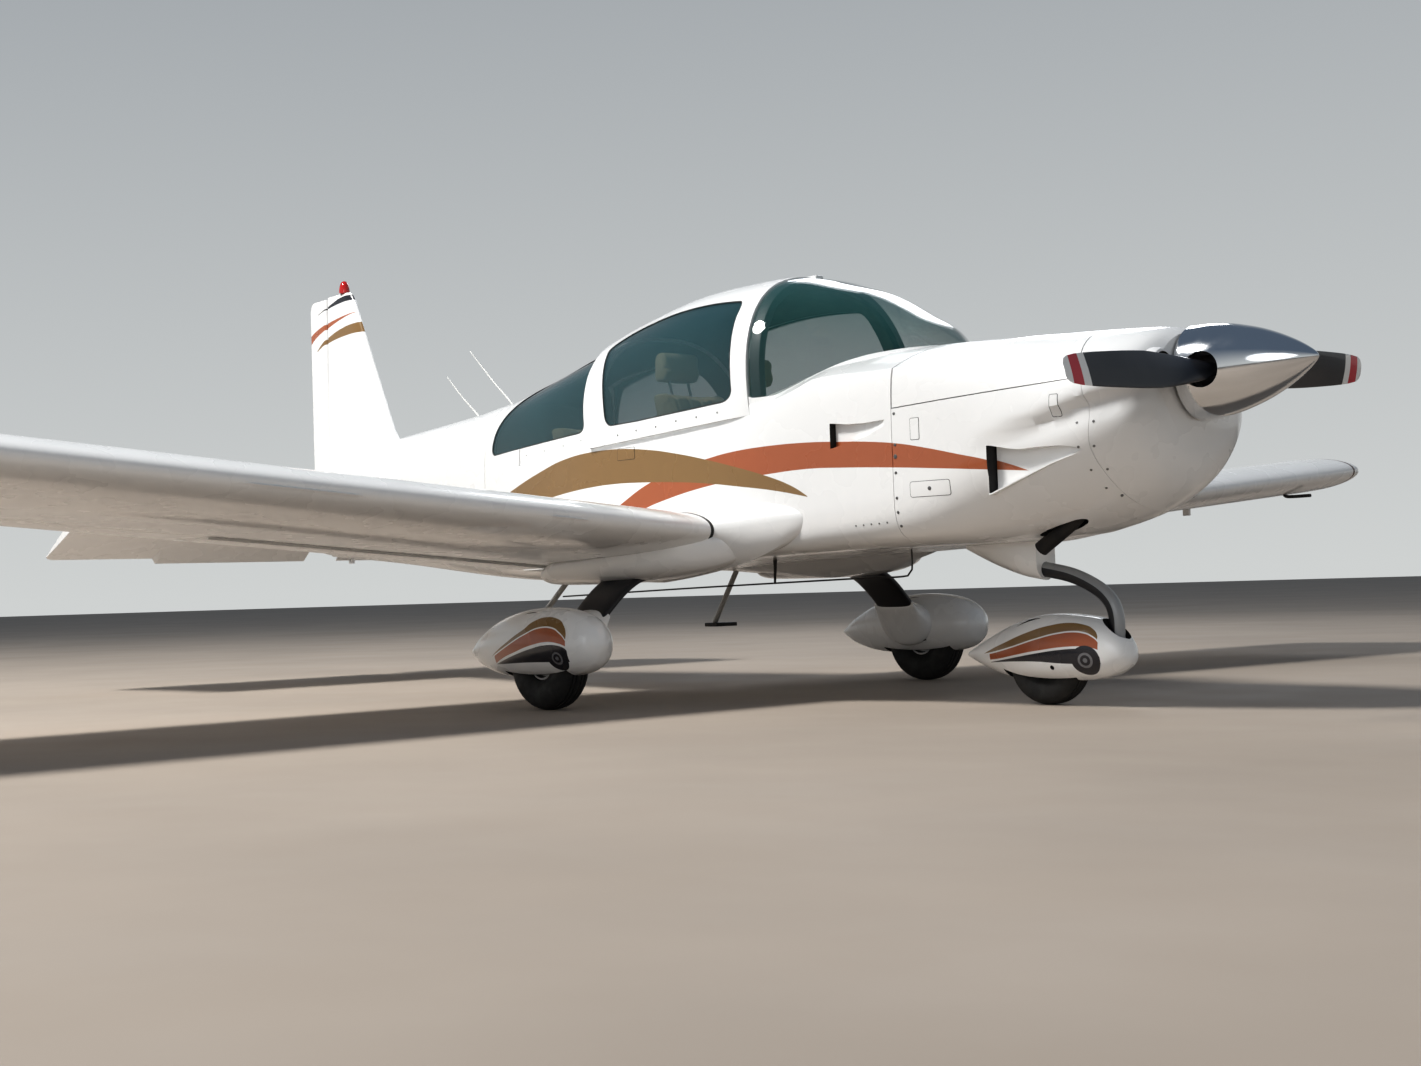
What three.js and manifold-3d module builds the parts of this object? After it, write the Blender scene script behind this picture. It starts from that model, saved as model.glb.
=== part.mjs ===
// Light aircraft: four seats, low wing, fixed tricycle gear, sliding canopy. Millimetres, +X to the nose,
// +Y to port, +Z up. The origin is on the ground under the middle of the aircraft.
import * as THREE from 'three';
import { mergeVertices } from 'three/addons/utils/BufferGeometryUtils.js';
import Module from 'manifold-3d';

const wasm = await Module();
wasm.setup();
const rad = THREE.MathUtils.degToRad;

// Overall sizes
const LENGTH = 6706;
const HALF_SPAN = 4800;
const GAP = 0.4;              // between pieces that touch
const PIN_GAP = 0.9;          // past the ends of a surface's hinge pin
const RUN = 6;                // between pieces that move past each other
const NOSE_X = LENGTH / 2;
const TAIL_X = -LENGTH / 2;
const HINGE_R = 5.4;          // hinge bars on the lids and the baggage door
const HINGE_GAP = 3;          // from a hinge's axis to its lid, and twice that to the frame

// Fuselage stations along X
const FIREWALL_X = 1868;
const COWL_SPLIT_Z = 1205;
const BOWL_X = 2674;          // joint of nose bowl and cowl, at the split line
const BOWL_LEAN = 0.2;        // how far the joint runs forward for each unit down
const COWL_FRONT_X = 2883;
const SKIN = 12;
const CABIN_WALL = 34;
const CABIN_REAR_X = -980;
const CONE_END_X = -3150;

// Canopy: the sill it slides on, and the lean of its two arches
const SILL_SLOPE = Math.tan(rad(3.34));
const SILL_X = 1060;
const SILL_Z = 1247;
const FRONT_LEAN = 0.12;
const REAR_LEAN = 0.18;
const CANOPY_FRONT_X = 1084;
const CANOPY_REAR_X = 3;
const CANOPY_WALL = 20;
const GLASS = 8;

// Wing
const CHORD = 1352;
const WING_LE_X = 991;
const WING_LE_Z = 700;        // at the centreline
const DIHEDRAL = 0.084;       // rise for each unit of span
const WING_ANGLE = rad(5.9);
const WING_ROOT_Y = 700;
const WING_TIP_Y = 4660;
const FLAP_Y = [716, 2570];
const AILERON_Y = [2600, 4430];
const WING_THICK = 0.15;      // shares of the chord
const WING_CAMBER = 0.022;
const TIE_DOWN = { x: 360, y: 3870, z: 850 };
const FLAP_HINGE = 0.80;      // share of the chord, at the lower skin
const AILERON_HINGE = 0.79;   // share of the chord, at mid thickness

// Tail
const ELEVATOR_HINGE = { x: -2902, z: 990 };
const STAB_HALF = 1870;
const STAB_CHORD = 480;
const STAB_ANGLE = rad(3.3);
const ELEVATOR_CHORD = 490;
const ELEVATOR_DROOP = rad(26);
const RUDDER_HINGE_X = -3162;
const FIN_TOP_Z = 2405;
const RUDDER_FOOT_Z = 1012;

// Gear
const MAIN = { x: 518, y: 1245, r: 208, half: 76, rim: 78 };
const NOSE = { x: 2177, r: 170, half: 62, rim: 64 };
const CASTER_X = 2491;
const AXLE_R = 16;

// Propeller
const PROP_Z = 1258;
const PROP_R = 975;
const PROP_TILT = rad(1.5);
const PROP_REST = rad(2.7);
const SPINNER_BASE_X = 2893;
const SPINNER_R = 179;

const finish = {
  white: { color: 0xf3f2ee, roughness: 0.25, metalness: 0 },
  glass: { color: 0x6f9a9c, roughness: 0.05, metalness: 0 },
  polished: { color: 0xc9ccd0, roughness: 0.15, metalness: 1 },
  black: { color: 0x18181a, roughness: 0.5, metalness: 0 },
  rubber: { color: 0x1c1c1d, roughness: 0.85, metalness: 0 },
  leather: { color: 0xb59b72, roughness: 0.6, metalness: 0 },
  dark: { color: 0x2b2b2c, roughness: 0.8, metalness: 0 },
  red: { color: 0xa02018, roughness: 0.2, metalness: 0 },
  steel: { color: 0x8d9094, roughness: 0.4, metalness: 0.9 },
};

// Closed geometry to a solid, and a solid back to geometry
function solid(geometry, matrix) {
  const g = geometry.clone();
  if (matrix) g.applyMatrix4(matrix);
  g.deleteAttribute('normal');
  g.deleteAttribute('uv');
  const m = mergeVertices(g, 1e-3);
  return new wasm.Manifold(new wasm.Mesh({
    numProp: 3,
    vertProperties: Float32Array.from(m.attributes.position.array),
    triVerts: Uint32Array.from(m.index.array),
  }));
}

function geometryOf(body) {
  const { numProp, vertProperties, triVerts } = body.getMesh();
  const points = [];
  for (let i = 0; i < vertProperties.length; i += numProp) points.push(...vertProperties.slice(i, i + 3));
  const g = new THREE.BufferGeometry();
  g.setAttribute('position', new THREE.Float32BufferAttribute(points, 3));
  g.setIndex(new THREE.BufferAttribute(Uint32Array.from(triVerts), 1));
  g.computeVertexNormals();
  return g;
}

const place = (x, y, z) => new THREE.Matrix4().makeTranslation(x, y, z);
const box = (x0, x1, y0, y1, z0, z1) => solid(
  new THREE.BoxGeometry(x1 - x0, y1 - y0, z1 - z0), place((x0 + x1) / 2, (y0 + y1) / 2, (z0 + z1) / 2));
const join = (...bodies) => bodies.reduce((a, b) => a.add(b));

// A skin over rings of points, closed at both ends by ladders between the ring's first and second half
function loft(rings) {
  const n = rings[0].length;
  const points = rings.flat();
  const faces = [];
  for (let r = 0; r < rings.length - 1; r++) {
    for (let k = 0; k < n; k++) {
      const a = r * n + k;
      const b = r * n + (k + 1) % n;
      faces.push([a, b, b + n], [a, b + n, a + n]);
    }
  }
  const last = (rings.length - 1) * n;
  for (let i = 0; i < n / 2 - 1; i++) {
    const j = n - 1 - i;
    faces.push([i, j, i + 1], [i + 1, j, j - 1]);
    faces.push([last + i, last + i + 1, last + j], [last + i + 1, last + j - 1, last + j]);
  }
  const volume = faces.reduce((sum, [i, j, k]) => sum + points[i].dot(points[j].clone().cross(points[k])), 0);
  const g = new THREE.BufferGeometry();
  g.setAttribute('position', new THREE.Float32BufferAttribute(points.flatMap((p) => p.toArray()), 3));
  g.setIndex(faces.flatMap((f) => (volume < 0 ? f.reverse() : f)));
  return solid(g);
}

// A round bar along Y, X or Z
function bar(axis, radius, centre, length, segments = 24) {
  const g = new THREE.CylinderGeometry(radius, radius, length, segments);
  if (axis === 'x') g.rotateZ(Math.PI / 2);
  if (axis === 'z') g.rotateX(Math.PI / 2);
  return solid(g, place(...centre));
}

// A side-view outline (X, Z) pulled through from one Y to another
function sideCut(shape, y0, y1, curveSegments = 8) {
  const g = new THREE.ExtrudeGeometry(shape, { depth: y1 - y0, bevelEnabled: false, curveSegments });
  g.rotateX(Math.PI / 2);
  g.translate(0, y1, 0);
  return solid(g);
}

// A round tube along a curve
function tube(points, radius, steps = 24, sides = 12) {
  const curve = new THREE.CatmullRomCurve3(points.map((p) => new THREE.Vector3(...p)), false, 'centripetal');
  const section = new THREE.Shape();
  for (let i = 0; i < sides; i++) {
    const a = (i / sides) * 2 * Math.PI;
    const q = [radius * Math.cos(a), radius * Math.sin(a)];
    if (i) section.lineTo(...q);
    else section.moveTo(...q);
  }
  return solid(new THREE.ExtrudeGeometry(section, { steps, extrudePath: curve, bevelEnabled: false }));
}

// Rounded box sections across the fuselage: half width, foot, widest height, top, how square each half is, and
// the crown of the deck, whose height falls by crown times y squared
const RING_POINTS = 28;
function sectionRing({ x, w, foot, mid, top, sharpTop, sharpFoot, crown }, grow) {
  const ring = [];
  for (let k = 0; k < RING_POINTS; k++) {
    const t = ((k + 0.5) / RING_POINTS) * 2 * Math.PI;
    const c = Math.cos(t);
    const s = Math.sin(t);
    const sharp = s > 0 ? sharpTop : sharpFoot;
    const rise = s > 0 ? top - mid + grow : mid - foot + grow;
    const y = (w + grow) * Math.sign(c) * Math.abs(c) ** (2 / sharp);
    const z = mid + rise * Math.sign(s) * Math.abs(s) ** (2 / sharp);
    ring.push(new THREE.Vector3(x, y, Math.min(z, top + grow - crown * y * y)));
  }
  return ring;
}
const named = (columns, row) => Object.fromEntries(columns.map((name, i) => [name, row[i] ?? 0]));
const rows = (columns, table) => table.map((row) => named(columns, row));
const SECTION = ['x', 'w', 'foot', 'mid', 'top', 'sharpTop', 'sharpFoot', 'crown'];

function sectionAt(table, x) {
  const i = Math.max(0, Math.min(table.length - 2, table.findIndex((row) => row.x >= x) - 1));
  const [a, b] = [table[i], table[i + 1]];
  const t = (x - a.x) / (b.x - a.x);
  return Object.fromEntries(SECTION.map((name) => [name, a[name] + (b[name] - a[name]) * t]));
}
function sectionLoft(table, x0, x1, grow = 0) {
  const inside = table.filter((row) => row.x > x0 + 1 && row.x < x1 - 1);
  return loft([sectionAt(table, x0), ...inside, sectionAt(table, x1)].map((row) => sectionRing(row, grow)));
}

// Fuselage body, from the tail end to the cowl's front
const HULL = rows(SECTION, [
  [-3160, 60, 764, 1050, 1384, 2.6, 2.4],
  [-2700, 132, 728, 1060, 1412, 2.6, 2.6],
  [-2200, 222, 686, 1060, 1449, 2.8, 3.2],
  [-1600, 332, 630, 1050, 1485, 3.0, 4.0],
  [-1280, 386, 602, 1040, 1504, 3.2, 4.5],
  [-980, 434, 580, 1030, 1528, 3.4, 5.0],
  [-700, 478, 566, 1010, 1500, 3.8, 5.5],
  [-300, 520, 580, 1000, 1500, 4.0, 8.0],
  [0, 545, 596, 1000, 1505, 4.0, 9.0],
  [518, 556, 618, 1000, 1505, 4.0, 10.0],
  [1068, 556, 634, 1000, 1505, 5.0, 10.0, 6.9e-4],
  [1212, 555, 638, 1000, 1505, 5.5, 9.5, 6.9e-4],
  [1330, 554, 641, 1000, 1505, 6.0, 9.0, 6.0e-4],
  [1464, 552, 645, 1000, 1505, 6.0, 8.0, 4.8e-4],
  [1868, 545, 652, 1000, 1497, 6.0, 6.0, 4.7e-4],
  [2150, 528, 656, 1010, 1480, 4.4, 3.4, 3.8e-4],
  [2350, 506, 672, 1028, 1468, 3.6, 2.3, 2.4e-4],
  [2450, 490, 682, 1040, 1460, 3.3, 2.0, 1.6e-4],
  [2674, 445, 738, 1080, 1449, 2.9, 1.8],
  [2790, 395, 802, 1110, 1441, 2.7, 1.8],
  [2850, 345, 868, 1140, 1430, 2.5, 1.8],
  [2883, 270, 950, 1180, 1412, 2.3, 1.8],
]);
// Windscreen and canopy bubble, from behind the rear arch to the windscreen's foot
const BUBBLE = rows(SECTION, [
  [-200, 540, 1150, 1200, 1735, 2.5, 6],
  [0, 560, 1150, 1200, 1796, 2.5, 6],
  [170, 564, 1150, 1200, 1836, 2.55, 6],
  [480, 568, 1150, 1200, 1893, 2.6, 6],
  [760, 568, 1150, 1200, 1905, 2.65, 6],
  [1035, 558, 1150, 1200, 1896, 2.6, 6],
  [1200, 512, 1150, 1200, 1848, 2.5, 6],
  [1397, 441, 1150, 1200, 1774, 2.3, 6],
  [1608, 341, 1150, 1200, 1654, 2.3, 6],
  [1718, 266, 1150, 1200, 1594, 2.2, 6],
  [1818, 120, 1150, 1200, 1508, 2.0, 6],
]);
// Fixed rear part of the cabin roof, inside the canopy's path
const REAR_ROOF = rows(SECTION, [
  [-1290, 384, 1100, 1150, 1450, 3.0, 6],
  [-980, 430, 1100, 1150, 1528, 2.8, 6],
  [-584, 482, 1100, 1150, 1620, 2.7, 6],
  [-250, 506, 1100, 1150, 1706, 2.6, 6],
  [95, 520, 1100, 1150, 1784, 2.6, 6],
]);

// Solid on one side of a slanted plane that crosses the sill at x: everything aft of it
function aftOf(x, lean) {
  const s = new THREE.Shape();
  s.moveTo(x + lean * (SILL_Z - 400), 400);
  s.lineTo(x - lean * (2600 - SILL_Z), 2600);
  s.lineTo(x - 6000, 2600);
  s.lineTo(x - 6000, 400);
  return sideCut(s, -900, 900);
}
// Everything above the sill line, raised by lift
function aboveSill(lift) {
  const s = new THREE.Shape();
  const z = (x) => SILL_Z + (x - SILL_X) * SILL_SLOPE + lift;
  s.moveTo(-2000, z(-2000));
  s.lineTo(2000, z(2000));
  s.lineTo(2000, 2600);
  s.lineTo(-2000, 2600);
  return sideCut(s, -900, 900);
}
// Everything above the windscreen's lower edge, lowered by drop
function aboveScreenFoot(drop) {
  const s = new THREE.Shape();
  const line = [[900, 1316], [1076, 1324], [1140, 1324], [1212, 1330], [1264, 1352], [1320, 1378],
    [1388, 1409], [1464, 1441], [1556, 1467], [1636, 1480], [1720, 1490], [1830, 1500]];
  s.moveTo(1830, 2100);
  s.lineTo(900, 2100);
  for (const [x, z] of line) s.lineTo(x, z - drop);
  return sideCut(s, -900, 900);
}
const frontOfCanopy = (gap) => aftOf(CANOPY_FRONT_X + gap, FRONT_LEAN);
const bubble = (grow) => sectionLoft(BUBBLE, -200, 1818, grow);
const rearRoof = (grow) => sectionLoft(REAR_ROOF, -1290, 95, grow);
const hull = (x0, x1, grow = 0) => sectionLoft(HULL, x0, x1, grow);

// Side windows as side views; the glass is the same outline drawn in a little
function canopyWindow(inset = 0) {
  const s = new THREE.Shape();
  s.moveTo(950 - inset, 1317 + inset);
  s.lineTo(974 - inset, 1328 + inset);
  s.lineTo(988 - inset, 1385);
  s.quadraticCurveTo(975 - inset, 1540, 912 - inset, 1778 - inset);
  s.quadraticCurveTo(558, 1834 - inset, 212, 1745 - inset);
  s.quadraticCurveTo(60 + inset, 1705 - inset, 36 + inset, 1640);
  s.quadraticCurveTo(96 + inset, 1500, 140 + inset, 1300);
  s.lineTo(164 + inset, 1280 + inset);
  return s;
}
function rearWindow(inset = 0) {
  const s = new THREE.Shape();
  s.moveTo(-100 - inset, 1272 + inset);
  s.lineTo(-72 - inset, 1300);
  s.lineTo(-108 - inset, 1464);
  s.quadraticCurveTo(-135 - inset, 1590, -196 - inset, 1668 - inset);
  s.quadraticCurveTo(-420, 1640 - inset, -640, 1578 - inset);
  s.quadraticCurveTo(-890 + inset, 1470, -908 + inset, 1262);
  s.lineTo(-880 + inset, 1219 + inset);
  return s;
}
const sideSpan = (s) => (s > 0 ? [60, 800] : [-800, -60]);
const sides = [['left', 1], ['right', -1]];

// Wing section: a point of the upper or lower skin at a share of the chord
function skinPoint(share, upper, thick, camber) {
  const half = 5 * thick * (0.2969 * Math.sqrt(share) - 0.126 * share - 0.3516 * share ** 2
    + 0.2843 * share ** 3 - 0.1036 * share ** 4) + 0.0012;
  const middle = camber * 4 * share * (1 - share);
  return middle + (upper ? half : -half);
}
// Outline of a section between two shares of its chord, u aft and v up, as shares of the chord
function sectionOutline(from, to, thick, camber, steps = 9) {
  const upper = [];
  const lower = [];
  for (let i = 0; i <= steps; i++) {
    const t = i / steps;
    const share = from + (to - from) * (from > 0 ? t : 1 - Math.cos(t * Math.PI / 2));
    upper.unshift([share, skinPoint(share, true, thick, camber)]);
    lower.push([share, skinPoint(share, false, thick, camber)]);
  }
  return [...upper, ...lower];
}
const wingZ = (y) => WING_LE_Z + DIHEDRAL * Math.abs(y);
// A wing section's outline set at span y, drawn in by scale, flattened by thin, and lowered by drop
function wingRing(outline, y, scale = 1, thin = 1, drop = 0) {
  return outline.map(([u, v]) => {
    const a = (0.35 + (u - 0.35) * scale) * CHORD;
    const b = v * CHORD * thin;
    return new THREE.Vector3(
      WING_LE_X - a * Math.cos(WING_ANGLE) - b * Math.sin(WING_ANGLE), y,
      wingZ(y) - a * Math.sin(WING_ANGLE) + b * Math.cos(WING_ANGLE) - drop);
  });
}
function wingLoft(outline, y0, y1, s) {
  return loft([wingRing(outline, s * y0), wingRing(outline, s * y1)]);
}
// Sector of a round nose about a hinge (share, height), from one angle to another, radius as a share of chord
function arcOutline(hu, hv, radius, from, to, steps) {
  return Array.from({ length: steps + 1 }, (_, i) => {
    const a = from + (to - from) * i / steps;
    return [hu - radius * Math.cos(a), hv + radius * Math.sin(a)];
  });
}
const flapHinge = [FLAP_HINGE, skinPoint(FLAP_HINGE, false, WING_THICK, WING_CAMBER)];
const flapNose = skinPoint(FLAP_HINGE, true, WING_THICK, WING_CAMBER) - flapHinge[1];
const aileronHinge = [AILERON_HINGE, WING_CAMBER * 4 * AILERON_HINGE * (1 - AILERON_HINGE)];
const aileronNose = skinPoint(AILERON_HINGE, true, WING_THICK, WING_CAMBER) - aileronHinge[1];

function flapOutline() {
  const aft = sectionOutline(FLAP_HINGE, 1, WING_THICK, WING_CAMBER, 4);
  const nose = arcOutline(...flapHinge, flapNose, Math.PI / 2, 0.1, 6).slice(1);
  return [...aft.slice(0, 5), ...nose, ...aft.slice(6)];
}
function aileronOutline() {
  const aft = sectionOutline(AILERON_HINGE, 1, WING_THICK, WING_CAMBER, 4);
  const nose = arcOutline(...aileronHinge, aileronNose, Math.PI / 2, -Math.PI / 2, 8).slice(1, -1);
  return [...aft.slice(0, 5), ...nose, ...aft.slice(5)];
}
// The room a control surface turns in: a round bar along its hinge and all that lies aft of it
function coveCut(hinge, radius, span, s) {
  const [u, v] = hinge;
  const far = 1.3;
  const arc = arcOutline(u, v, radius, Math.PI / 2, -Math.PI / 2, 11);
  const outline = [[far, v + radius], ...arc, [far, v - radius]];
  return wingLoft(outline, span[0], span[1], s);
}
// A pin along a surface's hinge line
const PIN_R = 9;
const pinOutline = ([u, v]) => arcOutline(u, v, PIN_R / CHORD, 0, 1.8 * Math.PI, 9);
const pinLoft = (hinge, y0, y1, s) => wingLoft(pinOutline(hinge), y0, y1, s);

const parts = [];
function add(name, body, look) {
  parts.push({ name, geometry: body.getMesh ? geometryOf(body) : body, look });
}

// Shell of the fuselage's lower part with its deck, and the fixed rear roof
function cabinShell() {
  const wall = CABIN_WALL;
  const roof = rearRoof(0).intersect(aftOf(CANOPY_REAR_X + 62, REAR_LEAN))
    .intersect(box(CABIN_REAR_X, 600, -700, 700, 1000, 2000));
  const opening = aboveSill(0).intersect(frontOfCanopy(RUN)).intersect(box(-620, 1320, -700, 700, 900, 2200));
  const screenFoot = bubble(0).subtract(bubble(-SKIN)).intersect(box(900, 1800, -700, 700, 1220, 2000))
    .subtract(aboveScreenFoot(GAP)).subtract(frontOfCanopy(RUN));
  const body = join(hull(CABIN_REAR_X, FIREWALL_X).subtract(opening), roof, screenFoot);
  const room = hull(CABIN_REAR_X + wall, FIREWALL_X - wall, -wall);
  const roofRoom = rearRoof(-22).intersect(box(CABIN_REAR_X + wall, 700, -700, 700, 1000, 2000));
  const screenRoom = bubble(-30).intersect(box(900, 1700, -600, 600, 1200, 2000));
  const shell = body.subtract(room).subtract(roofRoom).subtract(screenRoom);
  return sides.reduce((a, [, s]) => a.subtract(sideCut(rearWindow(), ...sideSpan(s))), shell);
}
const DOOR = { x0: -860, x1: -440, z0: 800, z1: 1120, hingeY: 505.5 };
const doorCut = (gap, front) => box(DOOR.x0 - gap, DOOR.x1 + front, 300, 700, DOOR.z0 - gap, DOOR.z1 + gap);
add('cabin_shell', cabinShell().subtract(doorCut(RUN, 2 * HINGE_GAP)), finish.white);
const doorHinge = bar('z', HINGE_R, [DOOR.x1, DOOR.hingeY, (DOOR.z0 + DOOR.z1) / 2], DOOR.z1 - DOOR.z0, 12);
add('baggage_door', hull(CABIN_REAR_X, FIREWALL_X).subtract(hull(CABIN_REAR_X, FIREWALL_X, -CABIN_WALL))
  .intersect(doorCut(0, -HINGE_GAP)).add(doorHinge), finish.white);

// Tail cone: one hollow shell, open into the cabin's rear wall, and the small fairing under the rudder
const coneOuter = hull(CONE_END_X, CABIN_REAR_X - GAP);
const coneInner = hull(CONE_END_X + 500, CABIN_REAR_X + 10, -SKIN * 1.2);
const STINGER = rows(SECTION, [
  [-3326, 14, 850, 905, 965, 2, 2],
  [-3290, 40, 798, 900, 1012, 2, 2],
  [CONE_END_X + 40, 58, 766, 900, 1030, 2.4, 2.4],
]);
const stinger = sectionLoft(STINGER, -3326, CONE_END_X + 40);
const TORQUE_TUBE_R = 22;
const torqueHole = bar('y', TORQUE_TUBE_R + 0.6, [ELEVATOR_HINGE.x, 0, ELEVATOR_HINGE.z], 600, 16);

// Fin and rudder: plan sections between heights
function finLoft(table) {
  return loft(table.map(([z, lead, trail, half]) => {
    const shares = [0, 0.08, 0.25, 0.5, 0.8, 1];
    const halfAt = (t) => half * (t === 0 ? 0.08 : Math.min(1, 0.35 + 2.6 * t) * (1 - 0.35 * t * t));
    const at = (t, sign) => new THREE.Vector3(lead + (trail - lead) * t, sign * halfAt(t), z);
    const side = (sign, list) => list.map((t) => at(t, sign));
    return [...side(1, shares), ...side(-1, [...shares].reverse())];
  }));
}
const finFront = (z) => -2400 - (z - 1440) * 0.475;
const FIN_TRAIL_X = RUDDER_HINGE_X + 36;
const fin = finLoft([
  [1330, finFront(1330) + 60, FIN_TRAIL_X, 34],
  [1500, finFront(1500), FIN_TRAIL_X, 38],
  [FIN_TOP_Z - 40, finFront(FIN_TOP_Z - 40), FIN_TRAIL_X, 24],
  [FIN_TOP_Z, finFront(FIN_TOP_Z) - 26, FIN_TRAIL_X, 20],
]);
const rudderHalf = (z) => 34 - (z - RUDDER_FOOT_Z) * 0.0095;
function rudderRing(z, trail, half) {
  const nose = [90, 60, 30, 0, -30, -60, -90].map((a) => [
    RUDDER_HINGE_X + half * Math.cos(rad(a)), half * Math.sin(rad(a))]);
  return [[trail, 3], ...nose, [trail, -3]].map(([x, y]) => new THREE.Vector3(x, y, z));
}
// A ring with one more point, halfway to the point before it, so that its count is even
function evenRing(ring, at) {
  const out = [...ring];
  out.splice(at, 0, ring[at].clone().lerp(ring[at - 1], 0.5));
  return out;
}
const rudder = loft([
  rudderRing(RUDDER_FOOT_Z, TAIL_X + 14, rudderHalf(RUDDER_FOOT_Z)),
  rudderRing(1200, TAIL_X, rudderHalf(1200)),
  rudderRing(2340, TAIL_X + 4, rudderHalf(2340)),
  rudderRing(FIN_TOP_Z - 12, TAIL_X + 40, rudderHalf(2340) - 4),
].map((ring) => evenRing(ring, 4)));
const rudderRoom = bar('z', 42, [RUDDER_HINGE_X, 0, 1700], 2 * (1700 - RUDDER_FOOT_Z + RUN), 24)
  .add(box(-3400, RUDDER_HINGE_X, -80, 80, RUDDER_FOOT_Z - RUN, 1600));
const tieLug = box(-2970, -2930, -9, 9, 715, 800);
add('tail_cone', join(coneOuter.subtract(coneInner), stinger, tieLug).subtract(torqueHole)
  .subtract(rudderRoom), finish.white);
add('fin', fin.subtract(rudderRoom).subtract(hull(CONE_END_X - 5, -1700, GAP)), finish.white);
const rudderPin = bar('z', 10, [RUDDER_HINGE_X, 0, RUDDER_FOOT_Z], 2 * (RUN - GAP), 12);
add('rudder', rudder.add(rudderPin), finish.white);

// Stabiliser halves on the cone's sides, and the elevator hanging at rest
const tailRing = (y, { x, z, angle }, chord, outline) => outline.map(([u, v]) => new THREE.Vector3(
  x - u * chord * Math.cos(angle) - v * chord * Math.sin(angle), y,
  z - u * chord * Math.sin(angle) + v * chord * Math.cos(angle)));
const ELEVATOR_NOSE = 30;
function stabOutline() {
  const share = STAB_CHORD / (STAB_CHORD + 430);
  return sectionOutline(0, share, 0.085, 0, 7).map(([u, v]) => [u / share, v / share]);
}
for (const [side, s] of sides) {
  const lead = {
    x: ELEVATOR_HINGE.x + STAB_CHORD * Math.cos(STAB_ANGLE),
    z: ELEVATOR_HINGE.z + STAB_CHORD * Math.sin(STAB_ANGLE),
    angle: STAB_ANGLE,
  };
  const outline = stabOutline();
  const rings = [[60, 1, 1], [STAB_HALF - 60, 1, 1], [STAB_HALF - 14, 0.96, 0.7], [STAB_HALF, 0.9, 0.3]];
  const drawn = (scale, thin) => outline.map(([u, v]) => [1 - (1 - u) * scale, v * thin]);
  const body = loft(rings.map(([y, scale, thin]) => tailRing(s * y, lead, STAB_CHORD, drawn(scale, thin))));
  const room = bar('y', ELEVATOR_NOSE + RUN, [ELEVATOR_HINGE.x, 0, ELEVATOR_HINGE.z], 4000);
  add(`stabiliser_${side}`, body.subtract(room).subtract(hull(CONE_END_X, -1700, GAP)), finish.white);
}
function elevatorHalf(s) {
  const at = { ...ELEVATOR_HINGE, angle: ELEVATOR_DROOP };
  const r = ELEVATOR_NOSE / ELEVATOR_CHORD;
  const nose = arcOutline(0, 0, r, Math.PI / 2, -Math.PI / 2, 8);
  const aft = (tab) => (tab ? [[0.75, -0.022], [1, -0.075]] : [[0.75, -0.022], [1, -0.004]]);
  const aftTop = (tab) => (tab ? [[1, -0.068], [0.75, 0.022]] : [[1, 0.004], [0.75, 0.022]]);
  const ring = (y, tab, scale = 1) => tailRing(s * y, at, ELEVATOR_CHORD,
    [...aftTop(tab), ...nose, ...aft(tab)].map(([u, v]) => [u * (u > 0 ? scale : 1), v]));
  const tabbed = [ring(120, true), ring(1170, true)];
  const plain = [ring(1176, false), ring(STAB_HALF - 50, false), ring(STAB_HALF, false, 0.93)];
  return loft([...tabbed, ...plain].map((list) => evenRing(list, 6)));
}
add('elevator', join(elevatorHalf(1), elevatorHalf(-1),
  bar('y', TORQUE_TUBE_R, [ELEVATOR_HINGE.x, 0, ELEVATOR_HINGE.z], 330, 16)), finish.white);

// Wings with their coves, flaps and ailerons, and the roots that carry them
const wingOutline = sectionOutline(0, 1, WING_THICK, WING_CAMBER, 10);
// Sections of the root: how far its nose is drawn forwards, and how much thicker than the wing it is above and below
const ROOT = rows(['y', 'forward', 'over', 'under'], [
  [420, 500, 1.3, 0.9],
  [490, 445, 1.25, 1.7],
  [560, 385, 1.2, 2.2],
  [620, 170, 1.1, 1.9],
  [660, 60, 1.04, 1.4],
  [WING_ROOT_Y - 8, 0, 1, 1],
]);
function rootBody(s, drop = 0) {
  return loft(ROOT.map(({ y, forward, over, under }) => wingRing(wingOutline, s * y, 1, 1, drop).map((p, i) => {
    const [u, v] = wingOutline[i];
    const lead = Math.max(0, 1 - u / 0.35);
    const lift = v * CHORD * ((v > 0 ? over : under) - 1) + forward * 0.12 * lead;
    return new THREE.Vector3(p.x + forward * lead * lead, p.y, p.z + lift);
  })));
}
const wingBody = (s, drop = 0) => loft([
  [WING_ROOT_Y, 1, 1], [WING_TIP_Y, 1, 1], [4740, 0.97, 0.8], [4786, 0.92, 0.45], [HALF_SPAN, 0.87, 0.15],
].map(([y, scale, thin]) => wingRing(wingOutline, s * y, scale, thin, drop)));
const hullAround = hull(-900, FIREWALL_X, GAP);
const LEG_PATH = rows(['y', 'z'], [
  [520, 583],
  [620, 578],
  [820, 545],
  [1020, 385],
  [1100, 262],
  [1118, 208],
]);
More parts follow.
